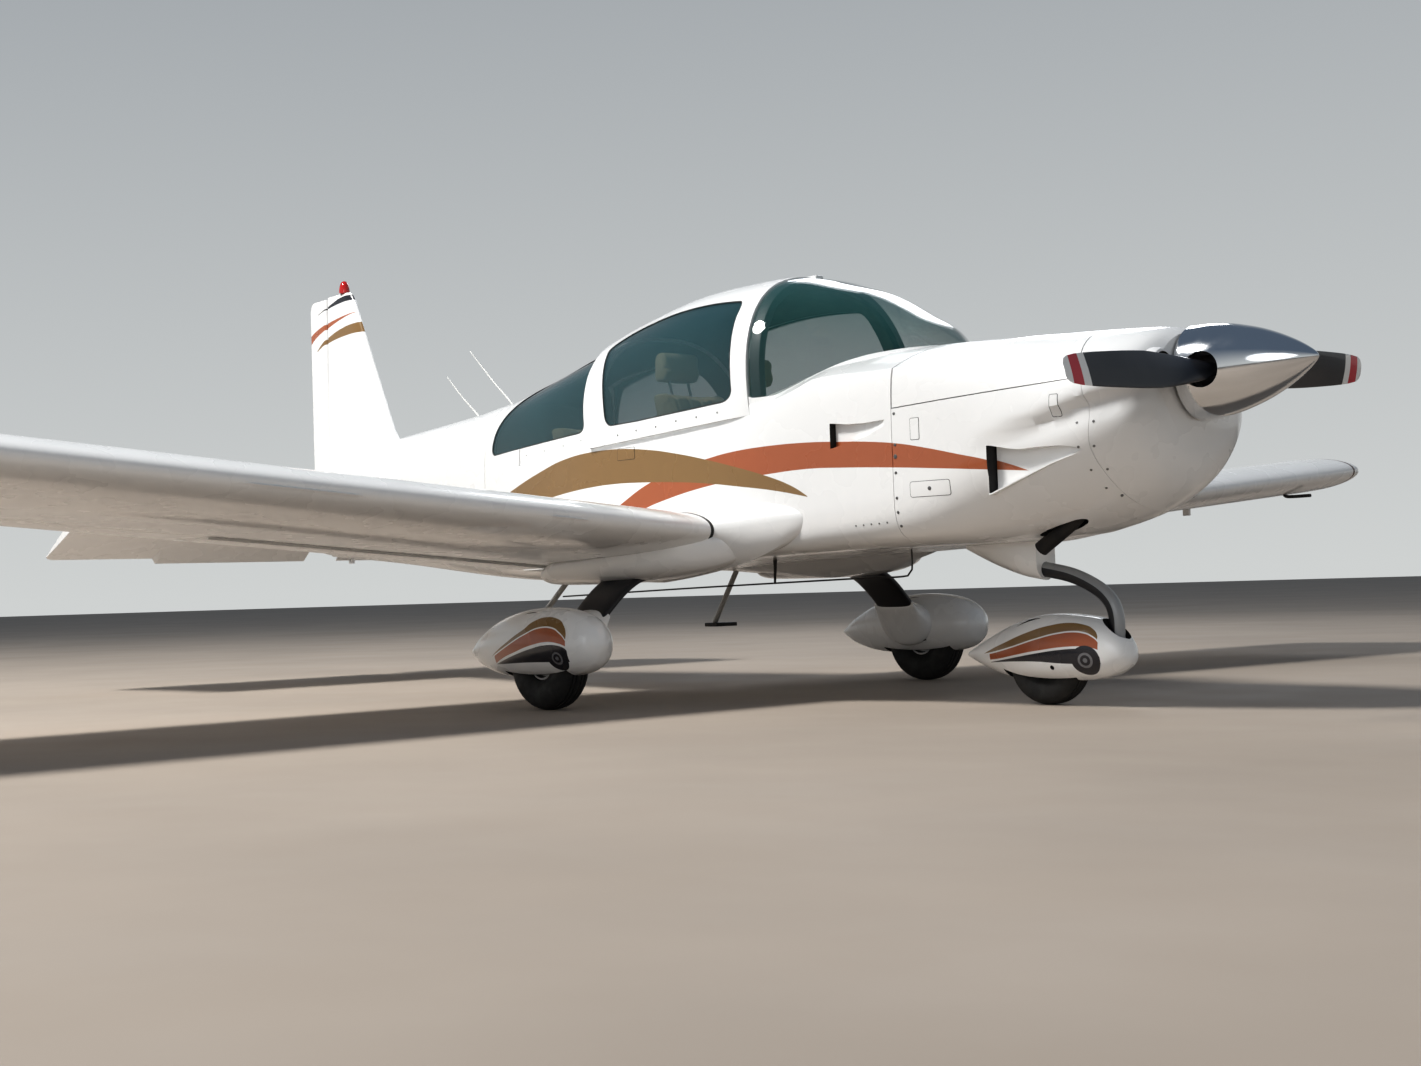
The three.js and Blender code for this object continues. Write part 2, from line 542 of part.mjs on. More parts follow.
// Fairing over the leg, below the wing and its root
const POD = rows([...SECTION, 'y'], [
  [-40, 50, 574, 592, 608, 2, 2, 0, 700],
  [-20, 110, 553, 588, 610, 2, 2.4, 0, 705],
  [10, 160, 543, 588, 612, 2, 2.6, 0, 710],
  [60, 190, 539, 600, 650, 2, 2.6, 0, 710],
  [140, 205, 537, 620, 680, 2, 2.6, 0, 710],
  [420, 220, 537, 640, 700, 2, 2.6, 0, 710],
  [660, 215, 549, 655, 720, 2, 2.6, 0, 700],
  [860, 165, 576, 680, 750, 2, 2.4, 0, 665],
  [990, 95, 610, 700, 760, 2, 2.2, 0, 600],
  [1060, 40, 650, 710, 750, 2, 2, 0, 570],
]);
const ROOT_POCKET = 14;       // depth of the hole that the flap's pin turns in
// Flat spring leg: a band that narrows outwards along its path
function legBody(s, grow) {
  const last = LEG_PATH.length - 1;
  const path = LEG_PATH.map(({ y, z }, i) => new THREE.Vector2(
    s * (i === 0 ? y - grow : y), i === last ? z - grow : z));
  const rings = path.map((p, i) => {
    const before = path[Math.max(0, i - 1)];
    const after = path[Math.min(path.length - 1, i + 1)];
    const along = after.clone().sub(before).normalize();
    const across = new THREE.Vector2(-along.y, along.x);
    const chord = 128 - 22 * (i / (path.length - 1)) + grow;
    const half = 20 - 4 * (i / (path.length - 1)) + grow;
    const band = [[1, 0.25], [0.75, 1], [0, 1], [-0.75, 1], [-1, 0.25], [-1, -0.25], [-0.75, -1], [0, -1],
      [0.75, -1], [1, -0.25]];
    return band.map(([a, b]) => new THREE.Vector3(
      MAIN.x + a * chord, p.x + across.x * b * half, p.y + across.y * b * half));
  });
  return loft(rings);
}
for (const [side, s] of sides) {
  const flapRoom = coveCut(flapHinge, flapNose + RUN / CHORD, [WING_ROOT_Y - 1, FLAP_Y[1] + RUN], s);
  const aileronSpan = [AILERON_Y[0] - RUN, AILERON_Y[1] + RUN];
  const aileronRoom = coveCut(aileronHinge, aileronNose + RUN / CHORD, aileronSpan, s);
  const lugY = s * TIE_DOWN.y;
  const lug = box(TIE_DOWN.x - 20, TIE_DOWN.x + 20, lugY - 10, lugY + 10, TIE_DOWN.z, 960);
  add(`wing_${side}`, join(wingBody(s).subtract(flapRoom).subtract(aileronRoom), lug), finish.white);
  const reach = RUN - PIN_GAP;
  const surface = (name, outline, hinge, [y0, y1], inner) => add(`${name}_${side}`,
    wingLoft(outline, y0, y1, s).add(pinLoft(hinge, inner, y1 + reach, s)), finish.white);
  surface('flap', flapOutline(), flapHinge, FLAP_Y, WING_ROOT_Y - ROOT_POCKET + PIN_GAP);
  surface('aileron', aileronOutline(), aileronHinge, AILERON_Y, AILERON_Y[0] - reach);
  const rootSpan = [WING_ROOT_Y - ROOT_POCKET, WING_ROOT_Y + 20];
  const rootRoom = coveCut(flapHinge, flapNose + RUN / CHORD, rootSpan, s);
  const legRoom = legBody(s, GAP);
  const root = rootBody(s).subtract(hullAround);
  add(`wing_root_${side}`, root.subtract(rootRoom).subtract(legRoom), finish.white);
  const pod = loft(POD.map((row) => sectionRing(row, 0).map((p) => p.setY(p.y + s * row.y))));
  const around = [rootBody(s), rootBody(s, GAP), wingBody(s), wingBody(s, GAP), hullAround, legRoom];
  add(`leg_fairing_${side}`, around.reduce((a, b) => a.subtract(b), pod), finish.white);
  const axle = bar('y', AXLE_R, [MAIN.x, s * 1190, MAIN.r], 150, 16);
  add(`main_leg_${side}`, legBody(s, 0).subtract(hullAround).add(axle), finish.black);
}

// Wheels: a tyre on its hub, the hub on its axle
function tyre({ r, half, rim }) {
  const p = [[rim, -half * 0.7], [(r + rim) / 2, -half], [r - 18, -half * 0.82], [r, -half * 0.2],
    [r, half * 0.2], [r - 18, half * 0.82], [(r + rim) / 2, half], [rim, half * 0.7], [rim, -half * 0.7]];
  return new THREE.LatheGeometry(p.map((q) => new THREE.Vector2(...q)), 24);
}
function hub({ half, rim }) {
  const bore = AXLE_R + 0.5;
  const p = [[bore, -half * 0.8], [36, -half * 0.8], [40, -half * 0.3], [rim - GAP, -half * 0.6],
    [rim - GAP, half * 0.6], [40, half * 0.3], [36, half * 0.8], [bore, half * 0.8], [bore, -half * 0.8]];
  return new THREE.LatheGeometry(p.map((q) => new THREE.Vector2(...q)), 24);
}
function addWheel(name, wheel, y) {
  const at = place(wheel.x, y, wheel.r);
  add(`${name}_tyre`, solid(tyre(wheel), at), finish.rubber);
  add(`${name}_hub`, solid(hub(wheel), at), finish.steel);
}

// Wheel pants: pointed bodies of round sections, open below for the wheel
const MAIN_PANT = rows(SECTION, [
  [-34, 6, 236, 245, 254, 2, 2],
  [60, 52, 188, 258, 316, 2.1, 2.1],
  [220, 104, 148, 270, 388, 2.2, 2.2],
  [420, 142, 138, 278, 432, 2.3, 2.3],
  [600, 148, 142, 282, 440, 2.3, 2.3],
  [760, 124, 160, 282, 414, 2.2, 2.2],
  [850, 78, 202, 283, 362, 2.1, 2.1],
  [885, 12, 270, 284, 298, 2, 2],
]);
const NOSE_PANT = rows(SECTION, [
  [1778, 6, 189, 198, 207, 2, 2],
  [1870, 48, 150, 204, 254, 2.1, 2.1],
  [2020, 92, 106, 212, 322, 2.2, 2.2],
  [2180, 118, 96, 220, 362, 2.5, 2.5],
  [2340, 118, 100, 222, 360, 2.5, 2.5],
  [2470, 98, 118, 214, 332, 2.3, 2.3],
  [2545, 56, 158, 202, 262, 2.1, 2.1],
  [2564, 10, 188, 196, 206, 2, 2],
]);
// Where the leg enters the main pant
const FLARE = rows(['y', 'long', 'high', 'z'], [
  [1000, 126, 34, 392],
  [1040, 138, 82, 338],
  [1085, 152, 112, 300],
  [1120, 150, 110, 292],
  [1155, 130, 85, 290],
]);
const pantBody = (table, y) => loft(table.map((row) => sectionRing(row, 0).map((p) => p.setY(p.y + y))));
for (const [side, s] of sides) {
  addWheel(`main_wheel_${side}`, MAIN, s * MAIN.y);
  const room = MAIN.half + 8;
  const well = bar('y', MAIN.r + 8, [MAIN.x, s * MAIN.y, MAIN.r], 2 * room, 32);
  const slot = box(MAIN.x - 196, MAIN.x + 196, s * MAIN.y - room, s * MAIN.y + room, 40, 200);
  const axleHole = bar('y', AXLE_R + 1, [MAIN.x, s * 1190, MAIN.r], 180, 16);
  const flare = loft(FLARE.map(({ y, long, high, z }) => Array.from({ length: 16 }, (_, k) => {
    const t = ((k + 0.5) / 16) * 2 * Math.PI;
    return new THREE.Vector3(MAIN.x + long * Math.cos(t), s * y, z + high * Math.sin(t));
  })));
  add(`main_pant_${side}`, [well, slot, axleHole, legBody(s, 0.6)]
    .reduce((a, b) => a.subtract(b), pantBody(MAIN_PANT, s * MAIN.y).add(flare)), finish.white);
}

// Nose gear: fairing under the cowl, bent tube, swivelling fork with the wheel in its pant
addWheel('nose_wheel', NOSE, 0);
const STRUT = [[2000, 0, 585], [2150, 0, 548], [2300, 0, 515], [2414, 0, 462], [2470, 0, 410],
  [CASTER_X, 0, 350], [CASTER_X, 0, 257.4]];
const STRUT_R = 30;
add('nose_strut', tube(STRUT, STRUT_R, 18, 12), finish.steel);
const NOSE_AXLE_END = 116;
const ARM = { y: NOSE.half + 15, half: 5, high: 18 };
const CROWN = { foot: 216, top: 257 };
const noseWell = bar('y', NOSE.r + 8, [NOSE.x, 0, NOSE.r], 2 * (NOSE.half + 7), 28);
const noseSlot = box(NOSE.x - 156, NOSE.x + 156, -NOSE.half - 7, NOSE.half + 7, 30, 160);
function armSide(grow) {
  const arm = new THREE.Shape();
  arm.moveTo(2420, CROWN.top + grow);
  arm.lineTo(2420, CROWN.foot - grow);
  arm.lineTo(NOSE.x, NOSE.r - ARM.high - grow);
  arm.absarc(NOSE.x, NOSE.r, ARM.high + grow, -Math.PI / 2, Math.PI / 2, true);
  return arm;
}
function forkArm(s, grow) {
  const half = ARM.half + grow;
  return sideCut(armSide(grow), s * ARM.y - half, s * ARM.y + half, 6);
}
const crownMid = (CROWN.foot + CROWN.top) / 2;
const crownHigh = CROWN.top - CROWN.foot;
const crownWide = ARM.y + ARM.half;
const crown = (grow) => join(
  bar('z', 42 + grow, [CASTER_X, 0, crownMid], crownHigh + 2 * grow, 20),
  box(2368 - grow, CASTER_X, -crownWide - grow, crownWide + grow, CROWN.foot - grow, CROWN.top + grow));
const noseAxle = (grow) => bar('y', AXLE_R + grow, [NOSE.x, 0, NOSE.r], 2 * (NOSE_AXLE_END + grow), 16);
add('nose_fork', join(crown(0), forkArm(1, 0), forkArm(-1, 0), noseAxle(0)), finish.steel);
const strutHole = bar('z', STRUT_R + 22, [CASTER_X, 0, 340], 166, 24);
add('nose_pant', [noseWell, noseSlot, strutHole, crown(0.5), forkArm(1, 0.5), forkArm(-1, 0.5), noseAxle(0.5)]
  .reduce((a, b) => a.subtract(b), pantBody(NOSE_PANT, 0)), finish.white);

// Cowl: bowl, two lids hinged beside the spine, and the lower shell
const bowlPlane = (x) => {
  const s = new THREE.Shape();
  s.moveTo(x + BOWL_LEAN * (COWL_SPLIT_Z - 500), 500);
  s.lineTo(x, COWL_SPLIT_Z);
  s.lineTo(x - BOWL_LEAN * 300, COWL_SPLIT_Z + 300);
  s.lineTo(x - BOWL_LEAN * 300, 2200);
  s.lineTo(x - 3000, 2200);
  s.lineTo(x - 3000, 500);
  return sideCut(s, -800, 800);
};
const cowlRoom = hull(FIREWALL_X - 5, COWL_FRONT_X - SKIN, -SKIN);
const cowlSkin = hull(FIREWALL_X + GAP, COWL_FRONT_X).subtract(cowlRoom);
const inlets = join(...sides.map(([, s]) => bar('x', 58, [2870, s * 235, 1270], 200, 20)));
const shaftHole = bar('x', 66, [2870, 0, PROP_Z], 200, 24);
const SPINE_HALF = 24;
const LID_HINGE = { x0: 1900, z0: 1493.5, x1: 2600, z1: 1451 };
const spine = cowlSkin.intersect(box(FIREWALL_X, BOWL_X, -SPINE_HALF, SPINE_HALF, 1380, 1600));
const aftSkin = cowlSkin.intersect(bowlPlane(BOWL_X - GAP));
const bowl = cowlSkin.subtract(bowlPlane(BOWL_X));
add('nose_bowl', bowl.subtract(inlets).subtract(shaftHole).add(spine), finish.white);
const PIPE_Y = -180;
const PIPE = [[2505, PIPE_Y, 899.5], [2505, PIPE_Y, 820], [2462, PIPE_Y, 744], [2288, PIPE_Y, 623]];
const exhaustRoom = tube(PIPE, 42, 8, 12);
const belowSplit = box(0, 4000, -800, 800, 0, COWL_SPLIT_Z);
add('cowl_lower', aftSkin.intersect(belowSplit).subtract(exhaustRoom), finish.white);
for (const [side, s] of sides) {
  const hingeY = s * (SPINE_HALF + 2 * HINGE_GAP);
  const edgeY = hingeY + s * HINGE_GAP;
  const [y0, y1] = s > 0 ? [edgeY, 800] : [-800, edgeY];
  const half = box(FIREWALL_X + RUN, BOWL_X, y0, y1, COWL_SPLIT_Z + RUN, 1600);
  const { x0, z0, x1, z1 } = LID_HINGE;
  const hinge = tube([[x0, hingeY, z0], [x1, hingeY, z1]], HINGE_R, 1, 10);
  const lid = aftSkin.intersect(half).intersect(bowlPlane(BOWL_X - RUN));
  add(`cowl_lid_${side}`, lid.add(hinge), finish.white);
}
add('exhaust_pipe', tube(PIPE, 30, 8, 12), finish.black);
const SHAFT_END_X = SPINNER_BASE_X + 3.5;
const ENGINE = { x0: 2060, x1: 2620, half: 300, z0: 900, z1: 1300 };
const SHAFT_START_X = ENGINE.x1 - 10;
const shaftMid = (SHAFT_START_X + SHAFT_END_X) / 2;
add('engine_block', join(
  box(ENGINE.x0, ENGINE.x1, -ENGINE.half, ENGINE.half, ENGINE.z0, ENGINE.z1),
  box(FIREWALL_X + GAP, ENGINE.x0, -120, 120, 960, 1180),
  bar('x', 40, [shaftMid, 0, PROP_Z], SHAFT_END_X - SHAFT_START_X, 24)), finish.dark);

// Nose leg fairing under the cowl's chin
const LEG_FAIRING = rows(SECTION, [
  [1790, 14, 636, 650, 690, 3, 2],
  [1950, 74, 566, 640, 720, 3, 2],
  [2080, 88, 520, 610, 730, 3, 2],
  [2175, 62, 500, 570, 720, 3, 2],
]);
const strutRoom = tube([[1990, 0, 587.5], ...STRUT.slice(1)], STRUT_R + 0.7, 18, 12);
const legFairing = sectionLoft(LEG_FAIRING, 1790, 2175).subtract(hull(1000, COWL_FRONT_X, GAP));
add('nose_leg_fairing', legFairing.subtract(strutRoom), finish.white);

// Propeller and spinner, turned to the thrust line
const thrust = new THREE.Matrix4().makeTranslation(SPINNER_BASE_X, 0, PROP_Z)
  .multiply(new THREE.Matrix4().makeRotationY(-PROP_TILT))
  .multiply(new THREE.Matrix4().makeRotationX(PROP_REST));
const BLADE_X = 98;
const BLADE = rows(['r', 'chord', 'thick', 'pitch'], [
  [60, 44, 44, 50],
  [190, 46, 40, 42],
  [270, 118, 26, 34],
  [480, 152, 18, 22],
  [780, 128, 11, 14],
  [PROP_R - 30, 92, 7, 10],
  [PROP_R, 46, 4, 9],
]);
function blade(s) {
  return loft(BLADE.map(({ r, chord, thick, pitch }) => Array.from({ length: 12 }, (_, k) => {
    const t = ((k + 0.5) / 12) * 2 * Math.PI;
    const a = (chord / 2) * Math.cos(t);
    const b = (thick / 2) * Math.sin(t);
    const p = rad(pitch);
    return new THREE.Vector3(
      BLADE_X + a * Math.sin(p) - b * Math.cos(p), s * r, s * (a * Math.cos(p) + b * Math.sin(p)));
  })));
}
const hubBody = join(bar('x', 62, [80, 0, 0], 150, 24), bar('x', 90, [14, 0, 0], 18, 24));
const propeller = join(hubBody, blade(1), blade(-1));
add('propeller', geometryOf(propeller).applyMatrix4(thrust), finish.black);
const spinnerProfile = [[0, 0], [0.05, 0.14], [0.2, 0.42], [0.45, 0.73], [0.7, 0.92], [1, 1]];
const spinnerLong = NOSE_X - SPINNER_BASE_X;
const spinnerWall = 5;
const shell = [[0, spinnerLong - 10],
  ...spinnerProfile.slice(1).map(([t, r]) => [r * SPINNER_R - spinnerWall, (spinnerLong - 10) * (1 - t)]),
  ...[...spinnerProfile].reverse().map(([t, r]) => [r * SPINNER_R, spinnerLong * (1 - t)])]
  .map((p) => new THREE.Vector2(...p));
const spinnerShell = solid(new THREE.LatheGeometry(shell, 24).rotateZ(-Math.PI / 2));
const backplate = bar('x', SPINNER_R - spinnerWall / 2, [7, 0, 0], 14, 24)
  .subtract(bar('x', 90.5, [7, 0, 0], 40, 24));
const shanks = join(...[1, -1].map((s) => bar('y', 66, [BLADE_X, s * 150, 0], 200, 16)));
const spinner = join(spinnerShell, backplate).subtract(shanks);
add('spinner', geometryOf(spinner).applyMatrix4(thrust), finish.polished);

// Glazing: windscreen with its bow, the canopy with its two windows, the fixed rear windows
const paneShell = (fn) => fn(-4).subtract(fn(-4 - GLASS));
const bowSlab = frontOfCanopy(50).subtract(frontOfCanopy(RUN));
const bowBody = bubble(-4 - GLASS - GAP).subtract(bubble(-46)).intersect(bowSlab).intersect(aboveSill(GAP))
  .intersect(box(900, 1300, -700, 700, 1200, 2000)).subtract(hull(900, FIREWALL_X, GAP));
const screenSpace = aboveScreenFoot(0).intersect(box(800, 1818, -700, 700, 1252, 2100));
add('windscreen', paneShell(bubble).subtract(frontOfCanopy(RUN)).subtract(hull(900, FIREWALL_X, GAP))
  .intersect(screenSpace), finish.glass);
add('windscreen_bow', bowBody, finish.dark);
const behindCanopy = (gap) => aftOf(CANOPY_REAR_X + gap, REAR_LEAN);
const canopySpace = frontOfCanopy(0).subtract(behindCanopy(0)).intersect(aboveSill(0.5));
const canopyShell = bubble(0).subtract(bubble(-CANOPY_WALL)).intersect(canopySpace);
const rearRim = bubble(-2).subtract(rearRoof(RUN + 1)).intersect(behindCanopy(22).subtract(behindCanopy(0)))
  .intersect(aboveSill(0.5));
const canopyBody = canopyShell.add(rearRim);
const through = (outline, s) => sideCut(outline, ...sideSpan(s));
const canopy = sides.reduce((a, [, s]) => a.subtract(through(canopyWindow(), s)), canopyBody);
add('canopy_frame', canopy, finish.white);
for (const [side, s] of sides) {
  add(`canopy_window_${side}`, paneShell(bubble).intersect(through(canopyWindow(0.6), s)), finish.glass);
  add(`rear_window_${side}`, paneShell(rearRoof).intersect(through(rearWindow(0.6), s)), finish.glass);
}

// Cabin: seats, panel, control wheels
function seatSide(x, z, depth, high, thick) {
  const s = new THREE.Shape();
  s.moveTo(x + depth, z);
  s.lineTo(x + depth, z + thick);
  s.lineTo(x + thick + 20, z + thick - 30);
  s.lineTo(x + thick - high * 0.25, z + high);
  s.lineTo(x - high * 0.25, z + high);
  s.lineTo(x - 20, z);
  return s;
}
const FRONT_SEAT = { x: 470, z: 800, depth: 480, high: 640, half: 215, y: 250 };
const REAR_SEAT = { x: -330, z: 800, depth: 440, high: 560 };
const cabinRoom = hull(-900, 1830, -CABIN_WALL - GAP);
for (const [side, s] of sides) {
  const q = FRONT_SEAT;
  const body = sideCut(seatSide(q.x, q.z, q.depth, q.high, 130), s * q.y - q.half, s * q.y + q.half);
  const rest = box(q.x - 205, q.x - 95, s * q.y - 120, s * q.y + 120, q.z + q.high + 40, q.z + q.high + 190);
  const post = (d) => bar('z', 8, [q.x - 140, s * q.y + d, q.z + q.high + 30], 90, 8);
  const posts = join(post(-60), post(60));
  const base = box(q.x, q.x + q.depth - 60, s * q.y - q.half + 30, s * q.y + q.half - 30, 600, q.z + 1)
    .intersect(cabinRoom);
  add(`seat_front_${side}`, join(body, rest, posts, base), finish.leather);
}
const bench = sideCut(seatSide(REAR_SEAT.x, REAR_SEAT.z, REAR_SEAT.depth, REAR_SEAT.high, 120), -470, 470)
  .add(box(REAR_SEAT.x, REAR_SEAT.x + REAR_SEAT.depth - 40, -400, 400, 590, REAR_SEAT.z + 1));
add('seat_rear', bench.intersect(cabinRoom), finish.leather);
const panelSide = new THREE.Shape();
panelSide.moveTo(1500, 1060);
panelSide.lineTo(1480, 1430);
panelSide.lineTo(1430, 1462);
panelSide.lineTo(1640, 1462);
panelSide.lineTo(1600, 1060);
// Control wheel: a grip bar with two horns on a shaft into the panel
const WHEEL = { x: 1205, z: 1190, half: 140, thick: 20, horn: 28, high: 100 };
function controlWheel(y) {
  const { x, z, half, thick, horn, high } = WHEEL;
  return join(bar('x', 12, [(x + 1500) / 2, y, z], 1500 - x, 10),
    box(x, x + thick, y - half, y + half, z - 14, z + 14),
    box(x, x + thick, y - half, y - half + horn, z - 14, z + high),
    box(x, x + thick, y + half - horn, y + half, z - 14, z + high));
}
const panelBody = sideCut(panelSide, -540, 540).intersect(cabinRoom);
add('instrument_panel', join(panelBody, controlWheel(250), controlWheel(-250)), finish.dark);
add('console', box(1040, 1480, -45, 45, 600, 1059).intersect(cabinRoom), finish.dark);

// Small outside pieces
for (const [side, s] of sides) {
  const post = tube([[-75, s * 536, 660], [-165, s * 561, 560], [-392, s * 627, 312]], 16, 6, 10);
  const tread = box(-440, -345, Math.min(s * 600, s * 750), Math.max(s * 600, s * 750), 296, 316);
  const above = [rootBody(s), rootBody(s, GAP), hullAround];
  add(`step_${side}`, above.reduce((a, b) => a.subtract(b), post.add(tread)), finish.steel);
}
const deckAround = hull(-2500, -600, GAP);
const WHIPS = { front: [[-1242, 1502], [-1655, 1886]], rear: [[-1576, 1484], [-1886, 1765]] };
for (const [name, [[x0, z0], [x1, z1]]] of Object.entries(WHIPS)) {
  const whip = tube([[x0, 0, z0 - 40], [x0 - 4, 0, z0 + 20], [x1, 0, z1]], 6, 4, 8);
  add(`whip_antenna_${name}`, whip.subtract(deckAround), finish.white);
}
const WIRE_Y = -60;
const wire = tube([[1538, WIRE_Y, 700], [1538, WIRE_Y, 560], [1518, WIRE_Y, 536], [1300, WIRE_Y, 530],
  [200, WIRE_Y, 506], [-817, WIRE_Y, 479]], 5, 16, 6);
const standOff = tube([[733, WIRE_Y, 700], [733, WIRE_Y, 600], [728, WIRE_Y, 512]], 7, 3, 8);
add('belly_antenna', wire.add(standOff).subtract(hull(-900, FIREWALL_X + 200, GAP)), finish.black);
const PITOT_Y = 4260;
const PITOT = [[760, PITOT_Y, 1020], [760, PITOT_Y, 962], [796, PITOT_Y, 942], [930, PITOT_Y, 942]];
const pitot = tube(PITOT, 10, 8, 8).subtract(wingBody(1)).subtract(wingBody(1, GAP));
add('pitot_tube', pitot, finish.steel);
const beaconProfile = [[0, 0], [34, 0], [34, 22], [26, 60], [10, 76], [0, 78]];
const beaconLens = new THREE.LatheGeometry(beaconProfile.map((p) => new THREE.Vector2(...p)), 20);
add('beacon', solid(beaconLens.rotateX(Math.PI / 2), place(-2950, 0, FIN_TOP_Z + GAP)), finish.red);

const aircraft = new THREE.Group();
for (const { name, geometry, look } of parts) {
  const mesh = new THREE.Mesh(geometry, new THREE.MeshStandardMaterial(look));
  mesh.name = name;
  aircraft.add(mesh);
}
export default aircraft;
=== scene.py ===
# Light aircraft: four seats, low wing, sliding canopy, fixed tricycle gear in wheel pants. The scene is in
# metres, +X to the nose, +Y to port, +Z up. Tables and sizes are millimetres, as on a drawing.
from math import cos, pi, radians, sin, sqrt, tan

import bpy
import numpy as np
from mathutils import Matrix, Vector


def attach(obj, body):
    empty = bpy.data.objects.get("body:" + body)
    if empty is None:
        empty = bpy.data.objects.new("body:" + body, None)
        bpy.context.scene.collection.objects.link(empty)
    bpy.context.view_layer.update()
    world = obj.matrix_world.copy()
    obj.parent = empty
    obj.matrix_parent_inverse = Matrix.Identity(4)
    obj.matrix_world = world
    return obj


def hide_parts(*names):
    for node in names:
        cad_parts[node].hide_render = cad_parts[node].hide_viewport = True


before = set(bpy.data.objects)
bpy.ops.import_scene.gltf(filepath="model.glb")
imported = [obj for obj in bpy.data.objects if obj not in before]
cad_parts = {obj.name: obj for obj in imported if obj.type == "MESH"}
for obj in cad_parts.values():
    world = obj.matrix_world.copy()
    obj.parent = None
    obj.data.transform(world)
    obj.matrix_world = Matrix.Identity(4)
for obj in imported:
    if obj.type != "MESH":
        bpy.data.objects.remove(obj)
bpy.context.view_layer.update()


# Studio: a plain pale floor, soft lights from above and behind the camera, and the camera at the photograph's
# place. The floor is one large disc of matt painted screed.
def deselect():
    if bpy.context.mode != "OBJECT":
        bpy.ops.object.mode_set(mode="OBJECT")
    bpy.ops.object.select_all(action="DESELECT")


def put(m, kind, inputs=None, **settings):
    made = m.node_tree.nodes.new("ShaderNode" + kind)
    for key, value in settings.items():
        setattr(made, key, value)
    for key, value in (inputs or {}).items():
        if isinstance(value, bpy.types.NodeSocket):
            m.node_tree.links.new(value, made.inputs[key])
        else:
            made.inputs[key].default_value = value
    return made


def sum_of(m, operation, a, b=0.0, clamp=False):
    return put(m, "Math", {0: a, 1: b}, operation=operation, use_clamp=clamp).outputs[0]


def blend_colours(m, share, a, b):
    wide = [c if isinstance(c, bpy.types.NodeSocket) else (*c, 1) for c in (a, b)]
    return put(m, "Mix", {0: share, 6: wide[0], 7: wide[1]}, data_type="RGBA").outputs[2]


def place_of(m):
    return put(m, "TexCoord").outputs["Object"]


def axes_of(m):
    return put(m, "SeparateXYZ", {0: place_of(m)}).outputs


def cloud(m, scale):
    noise = put(m, "TexNoise", {"Vector": place_of(m), "Scale": scale, "Detail": 3.0}).outputs["Fac"]
    return put(m, "MapRange", {0: noise, 1: 0.35, 2: 0.65, 3: 0.0, 4: 1.0}).outputs[0]


COAT_ROUGH, GRAIN_DEPTH = 0.06, 0.001


def finish(name, colour, rough, metal=0.0, coat=0.0, shade=None, rough_to=None, bump=(), scale=2.0):
    """A surface finish: two close tones in soft clouds, a roughness that wanders, and a fine relief"""
    m = bpy.data.materials.new(name)
    m.use_nodes = True
    shader = m.node_tree.nodes["Principled BSDF"]
    shader.inputs["Metallic"].default_value = metal
    shader.inputs["Coat Weight"].default_value = coat
    shader.inputs["Coat Roughness"].default_value = COAT_ROUGH
    tone = blend_colours(m, cloud(m, scale), colour, shade or [0.9 * c for c in colour])
    m.node_tree.links.new(tone, shader.inputs["Base Color"])
    rough_at = put(m, "MapRange", {0: cloud(m, scale * 3), 3: rough, 4: rough_to or rough * 1.25}).outputs[0]
    m.node_tree.links.new(rough_at, shader.inputs["Roughness"])
    if bump:
        relief = put(m, "TexNoise", {"Vector": place_of(m), "Scale": bump[0], "Detail": 3.0}).outputs["Fac"]
        raised = put(m, "Bump", {"Height": relief, "Strength": bump[1], "Distance": GRAIN_DEPTH}).outputs[0]
        m.node_tree.links.new(raised, shader.inputs["Normal"])
    return m


FLOOR_R, FLOOR_RIM = 70, 40
deselect()
bpy.ops.mesh.primitive_circle_add(vertices=96, radius=FLOOR_R, fill_type="NGON", location=(0, 0, 0))
floor = bpy.context.object
floor.name = "studio_floor"
bpy.ops.object.mode_set(mode="EDIT")
bpy.ops.mesh.inset(thickness=FLOOR_RIM)
bpy.ops.object.mode_set(mode="OBJECT")
floor.data.materials.append(finish("pale_floor", (0.37, 0.315, 0.265), 0.8, bump=(60, 0.15), scale=0.6))

world = bpy.data.worlds.new("studio")
bpy.context.scene.world = world
world.use_nodes = True
HORIZON, OVERHEAD = (0.72, 0.74, 0.735), (0.13, 0.17, 0.23)
look_up = put(world, "SeparateXYZ", {0: put(world, "TexCoord").outputs["Generated"]}).outputs[2]
sky = put(world, "MapRange", {0: look_up, 1: 0.0, 2: 0.7, 3: 0.0, 4: 1.0}).outputs[0]
background = world.node_tree.nodes["Background"].inputs
world.node_tree.links.new(blend_colours(world, sky, HORIZON, OVERHEAD), background["Color"])
background["Strength"].default_value = 0.75
bpy.context.scene.view_settings.view_transform = "Standard"
bpy.context.scene.view_settings.look = "Medium High Contrast"


def soft_light(name, place, target, size, power, colour):
    deselect()
    bpy.ops.object.light_add(type="AREA", location=place)
    lamp = bpy.context.object
    lamp.name = name
    lamp.data.shape = "DISK"
    lamp.data.size = size
    lamp.data.energy = power
    lamp.data.color = colour
    lamp.rotation_euler = (Vector(target) - Vector(place)).to_track_quat("-Z", "Y").to_euler()


WARM, COOL = (1, 0.985, 0.955), (0.95, 0.97, 1)
soft_light("key_light", (-3.4, -8.6, 13), (0.3, 0, 0.8), 3, 2750, WARM)
soft_light("fill_light", (9, -12, 5), (0.5, 0, 1), 7, 150, COOL)
soft_light("rim_light", (-5, 9, 8), (0, 0, 1), 5, 250, COOL)

